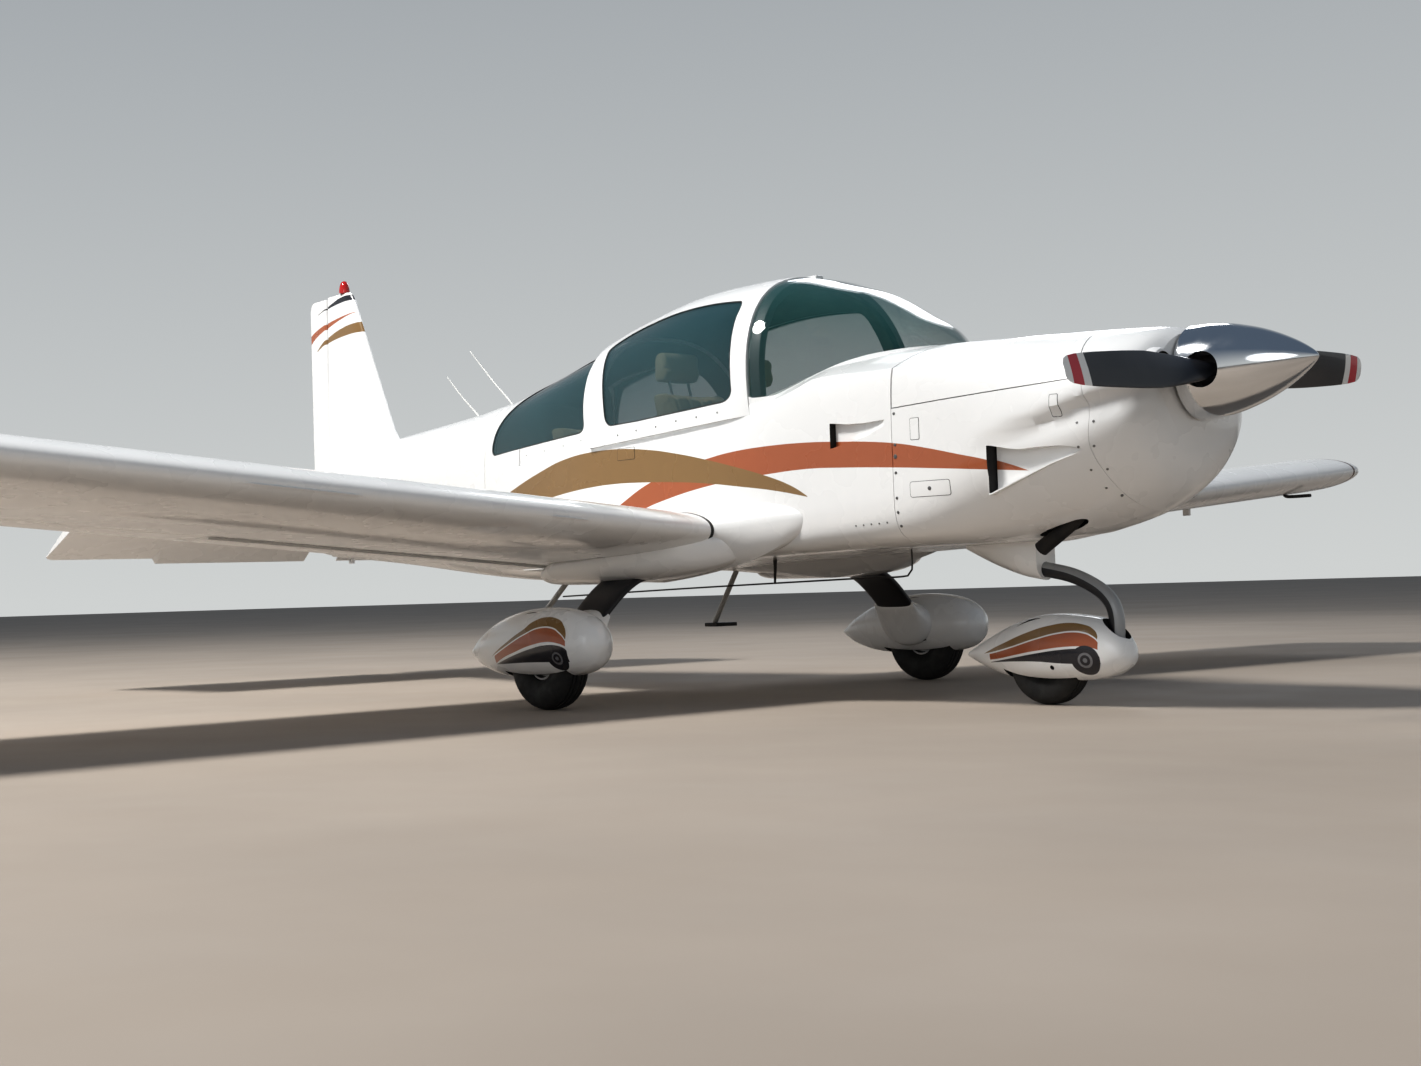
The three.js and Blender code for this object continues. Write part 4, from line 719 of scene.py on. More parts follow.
def airfoil(share, upper, thick, camber):
    half = 5 * thick * (0.2969 * sqrt(share) - 0.126 * share - 0.3516 * share**2
                        + 0.2843 * share**3 - 0.1036 * share**4) + 0.0012
    middle = camber * 4 * share * (1 - share)
    return middle + (half if upper else -half)


def outline_of(start, end, thick, camber, steps=30):
    """Upper skin from the rear forwards, then lower skin back, as shares of the chord"""
    t = np.arange(steps + 1) / steps
    shares = start + (end - start) * (t if start > 0 else 1 - np.cos(t * pi / 2))
    top = [(s, airfoil(s, True, thick, camber)) for s in shares[::-1]]
    return top + [(s, airfoil(s, False, thick, camber)) for s in shares]


def tail_ring(y, x, z, angle, chord, outline):
    return [(x - u * chord * cos(angle) - v * chord * sin(angle), y,
             z - u * chord * sin(angle) + v * chord * cos(angle)) for u, v in outline]


reach = STAB_CHORD / (STAB_CHORD + 430)
STAB_OUTLINE = [(u / reach, v / reach) for u, v in outline_of(0, reach, 0.085, 0)]
lead_x = ELEVATOR_HINGE[0] + STAB_CHORD * cos(STAB_ANGLE)
lead_z = ELEVATOR_HINGE[1] + STAB_CHORD * sin(STAB_ANGLE)
ROUND_TIP = [(0.0, 1.0, 1.0), (0.35, 0.985, 0.95), (0.62, 0.965, 0.8), (0.82, 0.945, 0.59),
             (0.95, 0.925, 0.34), (1.0, 0.91, 0.15)]
for side, s in SIDES:
    rows = [(60, 1, 1), (900, 1, 1)] + [(STAB_HALF - 60 + 60 * t, scale, thin)
                                        for t, scale, thin in ROUND_TIP]
    half_span = skin(f"stabiliser_{side}_skin", [
        tail_ring(s * y, lead_x, lead_z, STAB_ANGLE, STAB_CHORD,
                  [(1 - (1 - u) * scale, v * thin) for u, v in STAB_OUTLINE]) for y, scale, thin in rows],
                     plain_white)
    cut(half_span, cross_bar("hinge_room", *ELEVATOR_HINGE, -2000, 2000, ELEVATOR_NOSE + RUN, 64),
        hull("hull", CONE_END_X, -1700, SNUG))
    fit(half_span, "airframe", "white_skin", f"stabiliser_{side}")


def elevator_ring(y, tab, scale=1.0):
    nose = [(-(ELEVATOR_NOSE / ELEVATOR_CHORD) * sin(a), (ELEVATOR_NOSE / ELEVATOR_CHORD) * cos(a))
            for a in np.linspace(0, pi, 19)]
    rear = [(1, -0.068), (0.75, 0.022)] if tab else [(1, 0.004), (0.75, 0.022)]
    under = [(0.75, -0.022), (1, -0.075)] if tab else [(0.75, -0.022), (1, -0.004)]
    mid_top, mid_low = [(0.35, 0.045)], [(0.35, -0.045)]
    return tail_ring(y, *ELEVATOR_HINGE, DROOP, ELEVATOR_CHORD, [
        (u * (scale if u > 0 else 1), v) for u, v in rear + mid_top + nose + mid_low + under])


torque_tube = cross_bar("elevator_skin", *ELEVATOR_HINGE, -165, 165, 22, 32, plain_white)
for s in (1, -1):
    weld(torque_tube, skin("half", [
        elevator_ring(s * 120, True), elevator_ring(s * 700, True), elevator_ring(s * 1168, True),
        elevator_ring(s * 1178, False), elevator_ring(s * 1500, False), elevator_ring(s * 1820, False),
        elevator_ring(s * 1855, False, 0.97), elevator_ring(s * 1870, False, 0.93)], plain_white))
fit(torque_tube, "elevator", "white_skin", "elevator")

# Wings: bonded sheet over a tube spar, with flaps and ailerons on hidden pins, a moulded tip behind a brown
# joint band, and white stall strips on the leading edge. Fat roots and pods fair them into the body.
CHORD, WING_LE_X, WING_LE_Z, DIHEDRAL, WING_ANGLE = 1352, 991, 700, 0.084, radians(5.9)
WING_ROOT_Y, WING_TIP_Y, HALF_SPAN, WING_THICK, WING_CAMBER = 700, 4660, 4800, 0.15, 0.022
FLAP_Y, AILERON_Y = (716, 2570), (2600, 4430)
MAIN = {"x": 518, "y": 1245, "r": 208, "half": 76, "rim": 78}
WHEEL_ROOM = 8            # gap round a tyre in its pant
WING_OUTLINE = outline_of(0, 1, WING_THICK, WING_CAMBER, 40)
wing_white = gloss_white("wing_white")
wing_y = sum_of(wing_white, "ABSOLUTE", axes_of(wing_white)[1])
band = sum_of(wing_white, "MULTIPLY", above(wing_white, wing_y, 4.644), above(wing_white, 4.664, wing_y))
lay_over(wing_white, band, (0.10, 0.055, 0.035))


def wing_z(y):
    return WING_LE_Z + DIHEDRAL * abs(y)


def wing_ring(outline, y, scale=1.0, thin=1.0, drop=0.0):
    ring = []
    for u, v in outline:
        a, b = (0.35 + (u - 0.35) * scale) * CHORD, v * CHORD * thin
        ring.append((WING_LE_X - a * cos(WING_ANGLE) - b * sin(WING_ANGLE), y,
                     wing_z(y) - a * sin(WING_ANGLE) + b * cos(WING_ANGLE) - drop))
    return ring


def wing_span(name, outline, y0, y1, s, look=None, step=250):
    return skin(name, [wing_ring(outline, s * y) for y in stations(y0, y1, step)], look)


def wing_body(s, drop=0.0, look=None):
    rows = [(y, 1.0, 1.0) for y in stations(WING_ROOT_Y, WING_TIP_Y, 220)]
    for t in np.sin(np.linspace(0, pi / 2, 12))[1:]:
        rows.append((WING_TIP_Y + (HALF_SPAN - WING_TIP_Y) * t, 1 - 0.13 * t**2.2,
                     max(0.15, sqrt(1 - t * t))))
    return skin("wing_body", [wing_ring(WING_OUTLINE, s * y, scale, thin, drop) for y, scale, thin in rows],
                look)


ROOT = [(420, 500, 1.3, 0.9), (490, 445, 1.25, 1.7), (560, 385, 1.2, 2.2), (620, 170, 1.1, 1.9),
        (660, 60, 1.04, 1.4), (WING_ROOT_Y - 5, 0, 1, 1)]


def root_body(s, drop=0.0, look=None):
    """The root's sections: the wing's own, swollen above and below and drawn forwards towards the body"""
    rings = []
    for y in stations(420, WING_ROOT_Y - 5, 14):
        forward, over, under = [np.interp(y, [row[0] for row in ROOT], [row[k] for row in ROOT])
                                for k in (1, 2, 3)]
        ring = []
        for (u, v), (px, py, pz) in zip(WING_OUTLINE, wing_ring(WING_OUTLINE, s * y, drop=drop)):
            lead = max(0.0, 1 - u / 0.35)
            swell = v * CHORD * ((over if v > 0 else under) - 1)
            ring.append((px + forward * lead * lead, py, pz + swell + forward * 0.12 * lead))
        rings.append(ring)
    return skin("root_body", rings, look)


def arc_outline(hinge, radius, start, end, steps):
    return [(hinge[0] - radius * cos(a), hinge[1] + radius * sin(a))
            for a in np.linspace(start, end, steps + 1)]


def cove(hinge, radius, y0, y1, s):
    """The room that a control surface turns in"""
    arc = arc_outline(hinge, radius, pi / 2, -pi / 2, 32)
    return wing_span("cove", [(1.3, hinge[1] + radius)] + arc + [(1.3, hinge[1] - radius)], y0, y1, s,
                     step=5000)


def around_hull():
    return hull("around_hull", -900, FIREWALL_X, SNUG)


# The pod's last column is the distance of each section from the middle of the body
POD = [
    (-40, 50, 574, 592, 608, 2, 2, 0, 700), (-20, 110, 553, 588, 610, 2, 2.4, 0, 705),
    (10, 160, 543, 588, 612, 2, 2.6, 0, 710), (60, 190, 539, 600, 650, 2, 2.6, 0, 710),
    (140, 205, 537, 620, 680, 2, 2.6, 0, 710), (420, 220, 537, 640, 700, 2, 2.6, 0, 710),
    (660, 215, 549, 655, 720, 2, 2.6, 0, 700), (860, 165, 576, 680, 750, 2, 2.4, 0, 665),
    (990, 95, 610, 700, 760, 2, 2.2, 0, 600), (1060, 40, 650, 710, 750, 2, 2, 0, 570)]
LEG_PATH = smooth_path([(520, 583), (620, 578), (820, 545), (1020, 385), (1100, 262), (1118, 208)], 22)


def leg_body(name, s, grow=0.0, look=None):
    """Flat spring leg: a rounded band that narrows outwards along its path"""
    path = LEG_PATH * (s, 1)
    along = ways_along(path)
    rings = []
    for i, (p, d) in enumerate(zip(path, along)):
        share = i / (len(path) - 1)
        chord, half = 128 - 22 * share + grow, 20 - 4 * share + grow
        t = (np.arange(36) + 0.5) / 36 * 2 * pi
        a = chord * np.sign(np.cos(t)) * np.abs(np.cos(t)) ** 0.6
        b = half * np.sign(np.sin(t)) * np.abs(np.sin(t)) ** 0.45
        drop = grow if i == len(path) - 1 else 0
        inward = s * grow if i == 0 else 0
        rings.append([(MAIN["x"] + u, p[0] - inward - d[1] * v, p[1] + d[0] * v - drop)
                      for u, v in zip(a, b)])
    return skin(name, rings, look)


FLAP_HINGE = (0.80, airfoil(0.80, False, WING_THICK, WING_CAMBER))
FLAP_NOSE = airfoil(0.80, True, WING_THICK, WING_CAMBER) - FLAP_HINGE[1]
AILERON_HINGE = (0.79, WING_CAMBER * 4 * 0.79 * 0.21)
AILERON_NOSE = airfoil(0.79, True, WING_THICK, WING_CAMBER) - AILERON_HINGE[1]
FLAP_AFT = outline_of(0.80, 1, WING_THICK, WING_CAMBER, 12)
FLAP_OUTLINE = FLAP_AFT[:13] + arc_outline(FLAP_HINGE, FLAP_NOSE, pi / 2, 0.1, 18)[1:] + FLAP_AFT[14:]
AILERON_AFT = outline_of(0.79, 1, WING_THICK, WING_CAMBER, 12)
AILERON_OUTLINE = (AILERON_AFT[:13] + arc_outline(AILERON_HINGE, AILERON_NOSE, pi / 2, -pi / 2, 24)[1:-1]
                   + AILERON_AFT[13:])
PIN_R = 9 / CHORD
black_rubber = finish("black_rubber", (0.014, 0.014, 0.015), 0.55, shade=(0.022, 0.022, 0.022),
                      bump=(300, 0.2))


def seal_rings(s, middle, proud):
    """A band round the wing's section, wide at the leading edge and narrow aft"""
    ring = np.array(wing_ring(WING_OUTLINE, s * middle))[:, [0, 2]]
    ahead = np.roll(ring, -1, axis=0) - np.roll(ring, 1, axis=0)
    out = np.stack([ahead[:, 1], -ahead[:, 0]], axis=1) / np.linalg.norm(ahead, axis=1)[:, None]
    if np.sum((ring - ring.mean(axis=0)) * out) < 0:
        out = -out
    rings = []
    for (x, z), (ox, oz), (u, _) in zip(ring, out, WING_OUTLINE):
        half = 4 + 9 * max(0.0, 1 - u / 0.12)
        rings.append([(x + ox * d, s * (middle + h), z + oz * d)
                      for h, d in ((-half, -4), (-half, proud * 0.6), (0, proud), (half, proud * 0.6),
                                   (half, -4))])
    return rings


for side, s in SIDES:
    wing = wing_body(s, look=wing_white)
    wing.name = f"wing_{side}_skin"
    lug = block("lug", 340, 380, s * 3870 - 10, s * 3870 + 10, 850, 960, wing_white)
    cut(wing, cove(FLAP_HINGE, FLAP_NOSE + RUN / CHORD, WING_ROOT_Y - 1, FLAP_Y[1] + RUN, s),
        cove(AILERON_HINGE, AILERON_NOSE + RUN / CHORD, AILERON_Y[0] - RUN, AILERON_Y[1] + RUN, s))
    weld(wing, lug)
    for y0, y1 in ((1400, 1600), (2500, 3000)):
        strip = pipe("strip", [(*wing_ring([(0.004, -0.012)], s * y)[0],)
                               for y in (y0, y0 + 30, y1 - 30, y1)],
                     (3, 9, 9, 3), 4, 40, wing_white, side_way=(1, 0, 0))
        weld(wing, strip)
    fit(wing, "airframe", "white_skin", f"wing_{side}")
    for name, outline, hinge, (y0, y1), inner in (
            ("flap", FLAP_OUTLINE, FLAP_HINGE, FLAP_Y, WING_ROOT_Y - 13.1),
            ("aileron", AILERON_OUTLINE, AILERON_HINGE, AILERON_Y, AILERON_Y[0] - RUN + 0.9)):
        surface = wing_span(f"{name}_{side}_skin", outline, y0, y1, s, plain_white)
        pin = wing_span("pin", arc_outline(hinge, PIN_R, 0, 1.9 * pi, 19), inner, y1 + RUN - 0.9, s,
                        plain_white, 3000)
        fit(weld(surface, pin), f"{name}_{side}", "white_skin", f"{name}_{side}")
    root = root_body(s, look=plain_white)
    root.name = f"wing_root_{side}_skin"
    cut(root, around_hull(), leg_body("leg", s, SNUG),
        cove(FLAP_HINGE, FLAP_NOSE + RUN / CHORD, WING_ROOT_Y - 14, WING_ROOT_Y + 20, s))
    fit(root, "airframe", "white_skin", f"wing_root_{side}")
    seal = seal_rings(s, WING_ROOT_Y - 2, 1.6)
    band = skin(f"wing_root_seal_{side}", [r for r, (u, _) in zip(seal, WING_OUTLINE) if u < 0.78],
                black_rubber)
    fit(band, "airframe", "dark_trim")
    pod_rows = [fair(POD, x) for x in stations(POD[0][0], POD[-1][0], 16)]
    pod = skin(f"leg_fairing_{side}_skin", [section(row[:8], shift_y=s * row[8]) for row in pod_rows],
               plain_white)
    cut(pod, root_body(s), root_body(s, SNUG), wing_body(s), wing_body(s, SNUG), around_hull(),
        leg_body("leg", s, SNUG))
    fit(pod, "airframe", "white_skin", f"leg_fairing_{side}")

# Main gear: flat glass-fibre spring legs painted black, each with an axle bolted to its foot, a treaded tyre
# on a split cast hub, and a moulded wheel pant with a painted speed band on its outer side.
black_paint = finish("black_paint", (0.012, 0.013, 0.017), 0.34, shade=(0.02, 0.02, 0.025), bump=(160, 0.08))
tyre_rubber = finish("tyre_rubber", (0.013, 0.013, 0.013), 0.62, shade=(0.024, 0.023, 0.022), rough_to=0.85,
                     bump=(420, 0.25), scale=9)
cast_metal = finish("cast_metal", (0.42, 0.42, 0.42), 0.42, metal=0.9, shade=(0.3, 0.3, 0.3),
                    bump=(260, 0.15))
# Near-black for the walls of holes, wells, slots, slits, inlets and bores: painted shade for the dark inside
# them. It also colours the real dark joints round plates and latches.
shade_and_joint_black = finish("shade_and_joint_black", (0.02, 0.02, 0.02), 0.8, bump=(200, 0.2))
step_grey = finish("step_grey", (0.42, 0.42, 0.41), 0.4, coat=0.3, shade=(0.36, 0.36, 0.35), bump=(160, 0.08))


def turned(name, profile, place, along="y", sides=96, look=None):
    """A closed profile of (radius, place along the axis) turned about an axis through place"""
    t = steps_round(sides)
    rings = []
    for r, h in [*profile, profile[0]]:
        a, b, c = r * np.cos(t), r * np.sin(t), np.full(sides, float(h))
        rings.append(np.stack({"y": (a, c, b), "x": (c, a, b), "z": (a, b, c)}[along], axis=1) + place)
    return skin(name, rings, look)


def tyre_profile(r, half, rim):
    """Bead, rounded wall, shoulder and a tread with three grooves, then the bead's inner face"""
    wall = [(rim, 0.58), (rim + 5, 0.72), (rim + 0.32 * (r - rim), 0.95), (rim + 0.52 * (r - rim), 1.0),
            (rim + 0.72 * (r - rim), 0.95), (r - 16, 0.80), (r - 7, 0.64), (r - 3.5, 0.52)]
    tread = [(r - 3, 0.47), (r - 8, 0.46), (r - 8, 0.40), (r - 1.6, 0.39), (r - 0.6, 0.22), (r - 7, 0.21),
             (r - 7, 0.15), (r - 0.3, 0.14), (r, 0.04)]
    side = [(a, b * half) for a, b in wall + tread]
    return side + [(a, -b) for a, b in side[::-1]]


def hub_profile(half, rim):
    return [(16.5, -0.8 * half), (34, -0.8 * half), (38, -0.72 * half), (41, -0.34 * half),
            (rim - 16, -0.36 * half), (rim - 9, -0.62 * half), (rim - 0.4, -0.62 * half),
            (rim - 0.4, 0.62 * half), (rim - 9, 0.62 * half), (rim - 16, 0.36 * half), (41, 0.34 * half),
            (38, 0.72 * half), (34, 0.8 * half), (16.5, 0.8 * half)]


def wheel(name, size, y):
    place = (size["x"], y, size["r"])
    tyre = turned(f"{name}_tyre_skin", tyre_profile(size["r"], size["half"], size["rim"]), place,
                  look=tyre_rubber)
    fit(tyre, name, "tyre", f"{name}_tyre", angle=40)
    hub = turned(f"{name}_hub_skin", hub_profile(size["half"], size["rim"]), place, look=cast_metal)
    for k in range(6):
        a = k * pi / 3
        x, z = size["x"] + 50 * cos(a), size["r"] + 50 * sin(a)
        if size["rim"] > 70:
            long = 0.42 * size["half"]
            weld(hub, cross_bar("bolt", x, z, y - long, y + long, 7, 6))
    fit(hub, name, "wheel_metal", f"{name}_hub", angle=35)


MAIN_PANT = [(-34, 6, 236, 245, 254, 2, 2), (60, 52, 188, 258, 316, 2.1, 2.1),
             (220, 104, 148, 270, 388, 2.2, 2.2), (420, 142, 138, 278, 432, 2.3, 2.3),
             (600, 148, 142, 282, 440, 2.3, 2.3), (760, 124, 160, 282, 414, 2.2, 2.2),
             (850, 78, 202, 283, 362, 2.1, 2.1), (885, 12, 270, 284, 298, 2, 2)]
FLARE = [(1000, 126, 34, 392), (1040, 138, 82, 338), (1085, 152, 112, 300), (1120, 150, 110, 292),
         (1155, 130, 85, 290)]
MAIN_BAND = {
    "gold": [(236, 227), (300, 257), (396, 297), (455, 324), (518, 353), (566, 385), (630, 403), (700, 395),
             (748, 367), (774, 318)],
    "upper": [(232, 224), (320, 254), (412, 287), (526, 330), (628, 360), (690, 358), (735, 338), (772, 305)],
    "lower": [(272, 199), (360, 227), (454, 251), (582, 283), (676, 296), (730, 291), (778, 274)],
    "black": [(272, 198), (360, 219), (450, 241), (580, 271), (660, 285), (730, 284), (778, 262)],
    "foot": [(272, 197), (370, 202), (462, 207), (560, 211), (654, 213), (705, 214), (778, 214)],
    "disc": (722, 229, 52)}
NOSE_BAND = {
    "gold": [(1894, 202), (1950, 224), (2016, 247), (2134, 288), (2254, 320), (2336, 330), (2406, 321),
             (2440, 306), (2464, 276)],
    "upper": [(1894, 200), (1980, 214), (2070, 234), (2204, 269), (2300, 290), (2360, 296), (2406, 292),
              (2444, 277), (2468, 256)],
    "lower": [(1934, 176), (2000, 184), (2068, 196), (2204, 218), (2352, 235), (2412, 235), (2452, 228),
              (2474, 219)],
    "black": [(1936, 170), (2000, 179), (2066, 189), (2204, 211), (2300, 224), (2390, 229), (2440, 220),
              (2474, 196)],
    "foot": [(1936, 168), (2000, 172), (2100, 176), (2200, 177), (2316, 171), (2400, 170), (2474, 170)],
    "disc": (2416, 184, 58)}


def shifted(points, d):
    return [(x, z + d) for x, z in points]


def pant_white(name, band, outer_y=0.0):
    """White with the band's gold, rust and black fields, white lines between them, beyond |y| = outer_y"""
    m = gloss_white(name)
    x, y, z = axes_of(m)
    outside = above(m, sum_of(m, "ABSOLUTE", y), outer_y)
    cx, cz, r = band["disc"]
    dx, dz = sum_of(m, "SUBTRACT", x, cx * MM), sum_of(m, "SUBTRACT", z, cz * MM)
    square = sum_of(m, "ADD", sum_of(m, "MULTIPLY", dx, dx), sum_of(m, "MULTIPLY", dz, dz))
    distance = sum_of(m, "SQRT", square)
    fields = [(GOLD, between_lines(m, x, z, band["gold"], shifted(band["upper"], 3))),
              (RUST, between_lines(m, x, z, shifted(band["upper"], -3), shifted(band["lower"], 3))),
              (NAVY, between_lines(m, x, z, band["black"], band["foot"])),
              (NAVY, above(m, r * MM, distance))]
    for colour, mask in fields:
        lay_over(m, sum_of(m, "MULTIPLY", mask, outside), colour)
    ring = sum_of(m, "MULTIPLY", above(m, distance, 0.36 * r * MM), above(m, 0.52 * r * MM, distance))
    dot = above(m, 0.16 * r * MM, distance)
    lay_over(m, sum_of(m, "MULTIPLY", sum_of(m, "ADD", ring, dot), outside), (0.16, 0.16, 0.17))
    return m


main_pant_white = pant_white("main_pant_white", MAIN_BAND, 1.250)


def pant_body(name, table, y, look):
    return skin(name, [section(fair(table, x), shift_y=y) for x in stations(table[0][0], table[-1][0], 11)],
                look)


for side, s in SIDES:
    wheel(f"main_wheel_{side}", MAIN, s * MAIN["y"])
    leg = leg_body(f"main_leg_{side}_skin", s, look=black_paint)
    weld(leg, cross_bar("axle", MAIN["x"], MAIN["r"], s * 1115, s * 1265, 16, 32, cast_metal))
    fit(cut(leg, around_hull()), "airframe", "black_spring", f"main_leg_{side}", angle=35)
    pant = pant_body(f"main_pant_{side}_skin", MAIN_PANT, s * MAIN["y"], main_pant_white)
    t = steps_round(48)
    flare = []
    for y, long, high, z in smooth_path(FLARE, 14):
        flare.append(np.stack([MAIN["x"] + long * np.cos(t), np.full(48, s * y), z + high * np.sin(t)],
                              axis=1))
    weld(pant, skin("flare", flare, main_pant_white))
    room = MAIN["half"] + WHEEL_ROOM
    y0, y1 = s * MAIN["y"] - room, s * MAIN["y"] + room
    # The wheel well, slot and axle hole take the near-black on their cut walls: painted shade inside the
    # pant.
    cut(pant, cross_bar("well", MAIN["x"], MAIN["r"], y0, y1, MAIN["r"] + WHEEL_ROOM, 96, shade_and_joint_black),
        block("slot", MAIN["x"] - 196, MAIN["x"] + 196, y0, y1, 40, 200, shade_and_joint_black),
        cross_bar("axle_hole", MAIN["x"], MAIN["r"], s * 1100, s * 1280, 17, 32, shade_and_joint_black),
        leg_body("leg_hole", s, 1.2, look=black_rubber))
    fit(pant, "airframe", "white_skin", f"main_pant_{side}")

    # Entry step: a bent steel tube with a flat tread covered in black grip
    post = pipe(f"step_{side}_skin", [(-75, s * 536, 660), (-165, s * 561, 560), (-278, s * 594, 436),
                                      (-392, s * 627, 312)], 17, 24, 14, step_grey, flat=0.62)
    tread = soften(block("tread", -440, -345, *sorted((s * 600, s * 750)), 296, 316, black_rubber), 4, 3)
    fit(cut(weld(post, tread), root_body(s, look=step_grey), root_body(s, SNUG), around_hull()), "airframe",
        "strut_steel", f"step_{side}")

# Nose gear: a bent steel tube, grey in front with a black guard strip behind, that carries a swivelling fork
# with its axle. The pant bolts to the fork and turns with it.
NOSE = {"x": 2177, "r": 170, "half": 62, "rim": 64}
CASTER_X, STRUT_R, NOSE_ROOM_Y, NOSE_PRESS = 2491, 30, 69, 0.6
FORK = {"arm_y": 77, "arm_half": 5, "foot": 216, "top": 257, "boss": 18, "back": 2368, "bridge_y": 82}
STRUT = [(2000, 0, 585), (2150, 0, 548), (2300, 0, 515), (2414, 0, 462), (2470, 0, 410), (2491, 0, 350),
         (2491, 0, 257.4)]
NOSE_PANT = [(1778, 6, 189, 198, 207, 2, 2), (1870, 48, 150, 204, 254, 2.1, 2.1),
             (2020, 92, 106, 212, 322, 2.2, 2.2), (2180, 118, 96, 220, 362, 2.5, 2.5),
             (2340, 118, 100, 222, 360, 2.5, 2.5), (2470, 98, 118, 214, 332, 2.3, 2.3),
             (2545, 56, 158, 202, 262, 2.1, 2.1), (2564, 10, 188, 196, 206, 2, 2)]
LEG_FAIRING = [(1790, 14, 636, 650, 690, 3, 2), (1950, 74, 566, 640, 720, 3, 2),
               (2080, 88, 520, 610, 730, 3, 2), (2175, 62, 500, 570, 720, 3, 2)]
NOSE_AXLE_END = 98
strut_grey = finish("strut_grey", (0.33, 0.34, 0.35), 0.38, metal=0.2, coat=0.3, bump=(120, 0.06))
wheel("nose_wheel", NOSE, 0)
strut = pipe("nose_strut_skin", STRUT, STRUT_R, 48, 8, strut_grey)
strut.data.materials.append(black_paint)
GUARD_EDGE = -0.22        # how far round the tube the black guard strip reaches
strut_line = smooth_path(STRUT, 8) * MM
strut_way = ways_along(strut_line)
for face in strut.data.polygons:
    d = strut_way[np.argmin(np.linalg.norm(strut_line - np.array(face.center), axis=1))]
    face.material_index = int(face.normal.dot(Vector((d[2], 0, -d[0]))) > GUARD_EDGE)
fit(strut, "airframe", "strut_steel", "nose_strut")


def fork_arm(s, grow):
    boss = FORK["boss"] + grow
    arc = [(NOSE["x"] - boss * sin(a), NOSE["r"] - boss * cos(a)) for a in np.linspace(0, pi, 17)]
    side = [(2420, FORK["top"] + grow), (2420, FORK["foot"] - grow)] + arc
    return prism("fork_arm", side, s * FORK["arm_y"] - FORK["arm_half"] - grow,
                 s * FORK["arm_y"] + FORK["arm_half"] + grow, look=black_paint)


def crown(grow, name="crown"):
    z0, z1, half = FORK["foot"] - grow, FORK["top"] + grow, FORK["bridge_y"] + grow
    body = rod(name, (CASTER_X, 0, z0), (CASTER_X, 0, z1), 42 + grow, 48, black_paint)
    return weld(body, block("bridge", FORK["back"] - grow, CASTER_X, -half, half, z0, z1, black_paint))


def nose_axle(grow, look=black_paint):
    end = NOSE_AXLE_END + grow
    return cross_bar("nose_axle", NOSE["x"], NOSE["r"], -end, end, 16 + grow, 32, look)


fork = weld(crown(0, "nose_fork_skin"), fork_arm(1, 0), fork_arm(-1, 0), nose_axle(0, cast_metal))
fit(soften(fork, 2, 2, 50), "nose_fork", "strut_steel", "nose_fork")
nose_pant_white = pant_white("nose_pant_white", NOSE_BAND)
pant = pant_body("nose_pant_skin", NOSE_PANT, 0, nose_pant_white)
# The well, slot and strut hole take the near-black on their cut walls: painted shade inside the pant.
cut(pant, cross_bar("well", NOSE["x"], NOSE["r"], -NOSE_ROOM_Y, NOSE_ROOM_Y, NOSE["r"] + WHEEL_ROOM, 96,
                    shade_and_joint_black),
    block("slot", NOSE["x"] - 156, NOSE["x"] + 156, -NOSE_ROOM_Y, NOSE_ROOM_Y, 30, 160, shade_and_joint_black),
    rod("strut_hole", (CASTER_X, 0, 257), (CASTER_X, 0, 430), STRUT_R + 22, 64, shade_and_joint_black),
    crown(NOSE_PRESS), fork_arm(1, NOSE_PRESS), fork_arm(-1, NOSE_PRESS), nose_axle(NOSE_PRESS))
# Drain holes whose cut walls take the near-black: painted shade.
for s in (1, -1):
    cut(pant, cross_bar("drain", 2266, 154, s * 80, s * 140, 9, 20, shade_and_joint_black))
fit(pant, "nose_fork", "white_skin", "nose_pant")
fairing = skin("nose_leg_fairing_skin", [section(fair(LEG_FAIRING, x)) for x in stations(1790, 2175, 12)],
               plain_white)
cut(fairing, hull("hull", 1000, COWL_FRONT_X, SNUG),
    pipe("strut_room", [(1990, 0, 587.5)] + STRUT[1:], STRUT_R + 0.8,
                                                        48, 8, black_rubber))
fit(fairing, "airframe", "white_skin", "nose_leg_fairing")

# Cowl: moulded glass fibre over the engine. The bowl carries two round inlets and the spine between the lids;
# the lids open upwards on long hinges beside the spine. A fold runs back from each inlet along the side.
BOWL_JOINT = smooth_path([(2716, 560), (2702, 868), (2692, 990), (2701, 1095), (2688, 1221), (2662, 1310),
                          (2614, 1505)], 20)
FOLD_LINE = [(2240, 1030), (2320, 1051), (2500, 1100), (2710, 1168), (2855, 1201), (2900, 1208)]
FOLD_DEPTH = [(2200, 0), (2330, 7), (2480, 14), (2620, 20), (2760, 21), (2850, 13), (2890, 4)]
FOLD_SOFT, FOLD_OVER, FOLD_UNDER = 19, 150, 90
INLET_Y, INLET_Z, INLET_R, PROP_Z, SHAFT_HOLE = 235, 1270, 58, 1258, 66
SPINE_HALF, COWL_WALL = 24, 12
CHEEK = [(2580, 262, 1262, 70), (2700, 262, 1262, 90), (2800, 250, 1266, 84), (2862, 239, 1269, 77),
         (2882, 236, 1270, 72.5), (2890, 235, 1270, 67.5), (2892, 235, 1270, 62)]


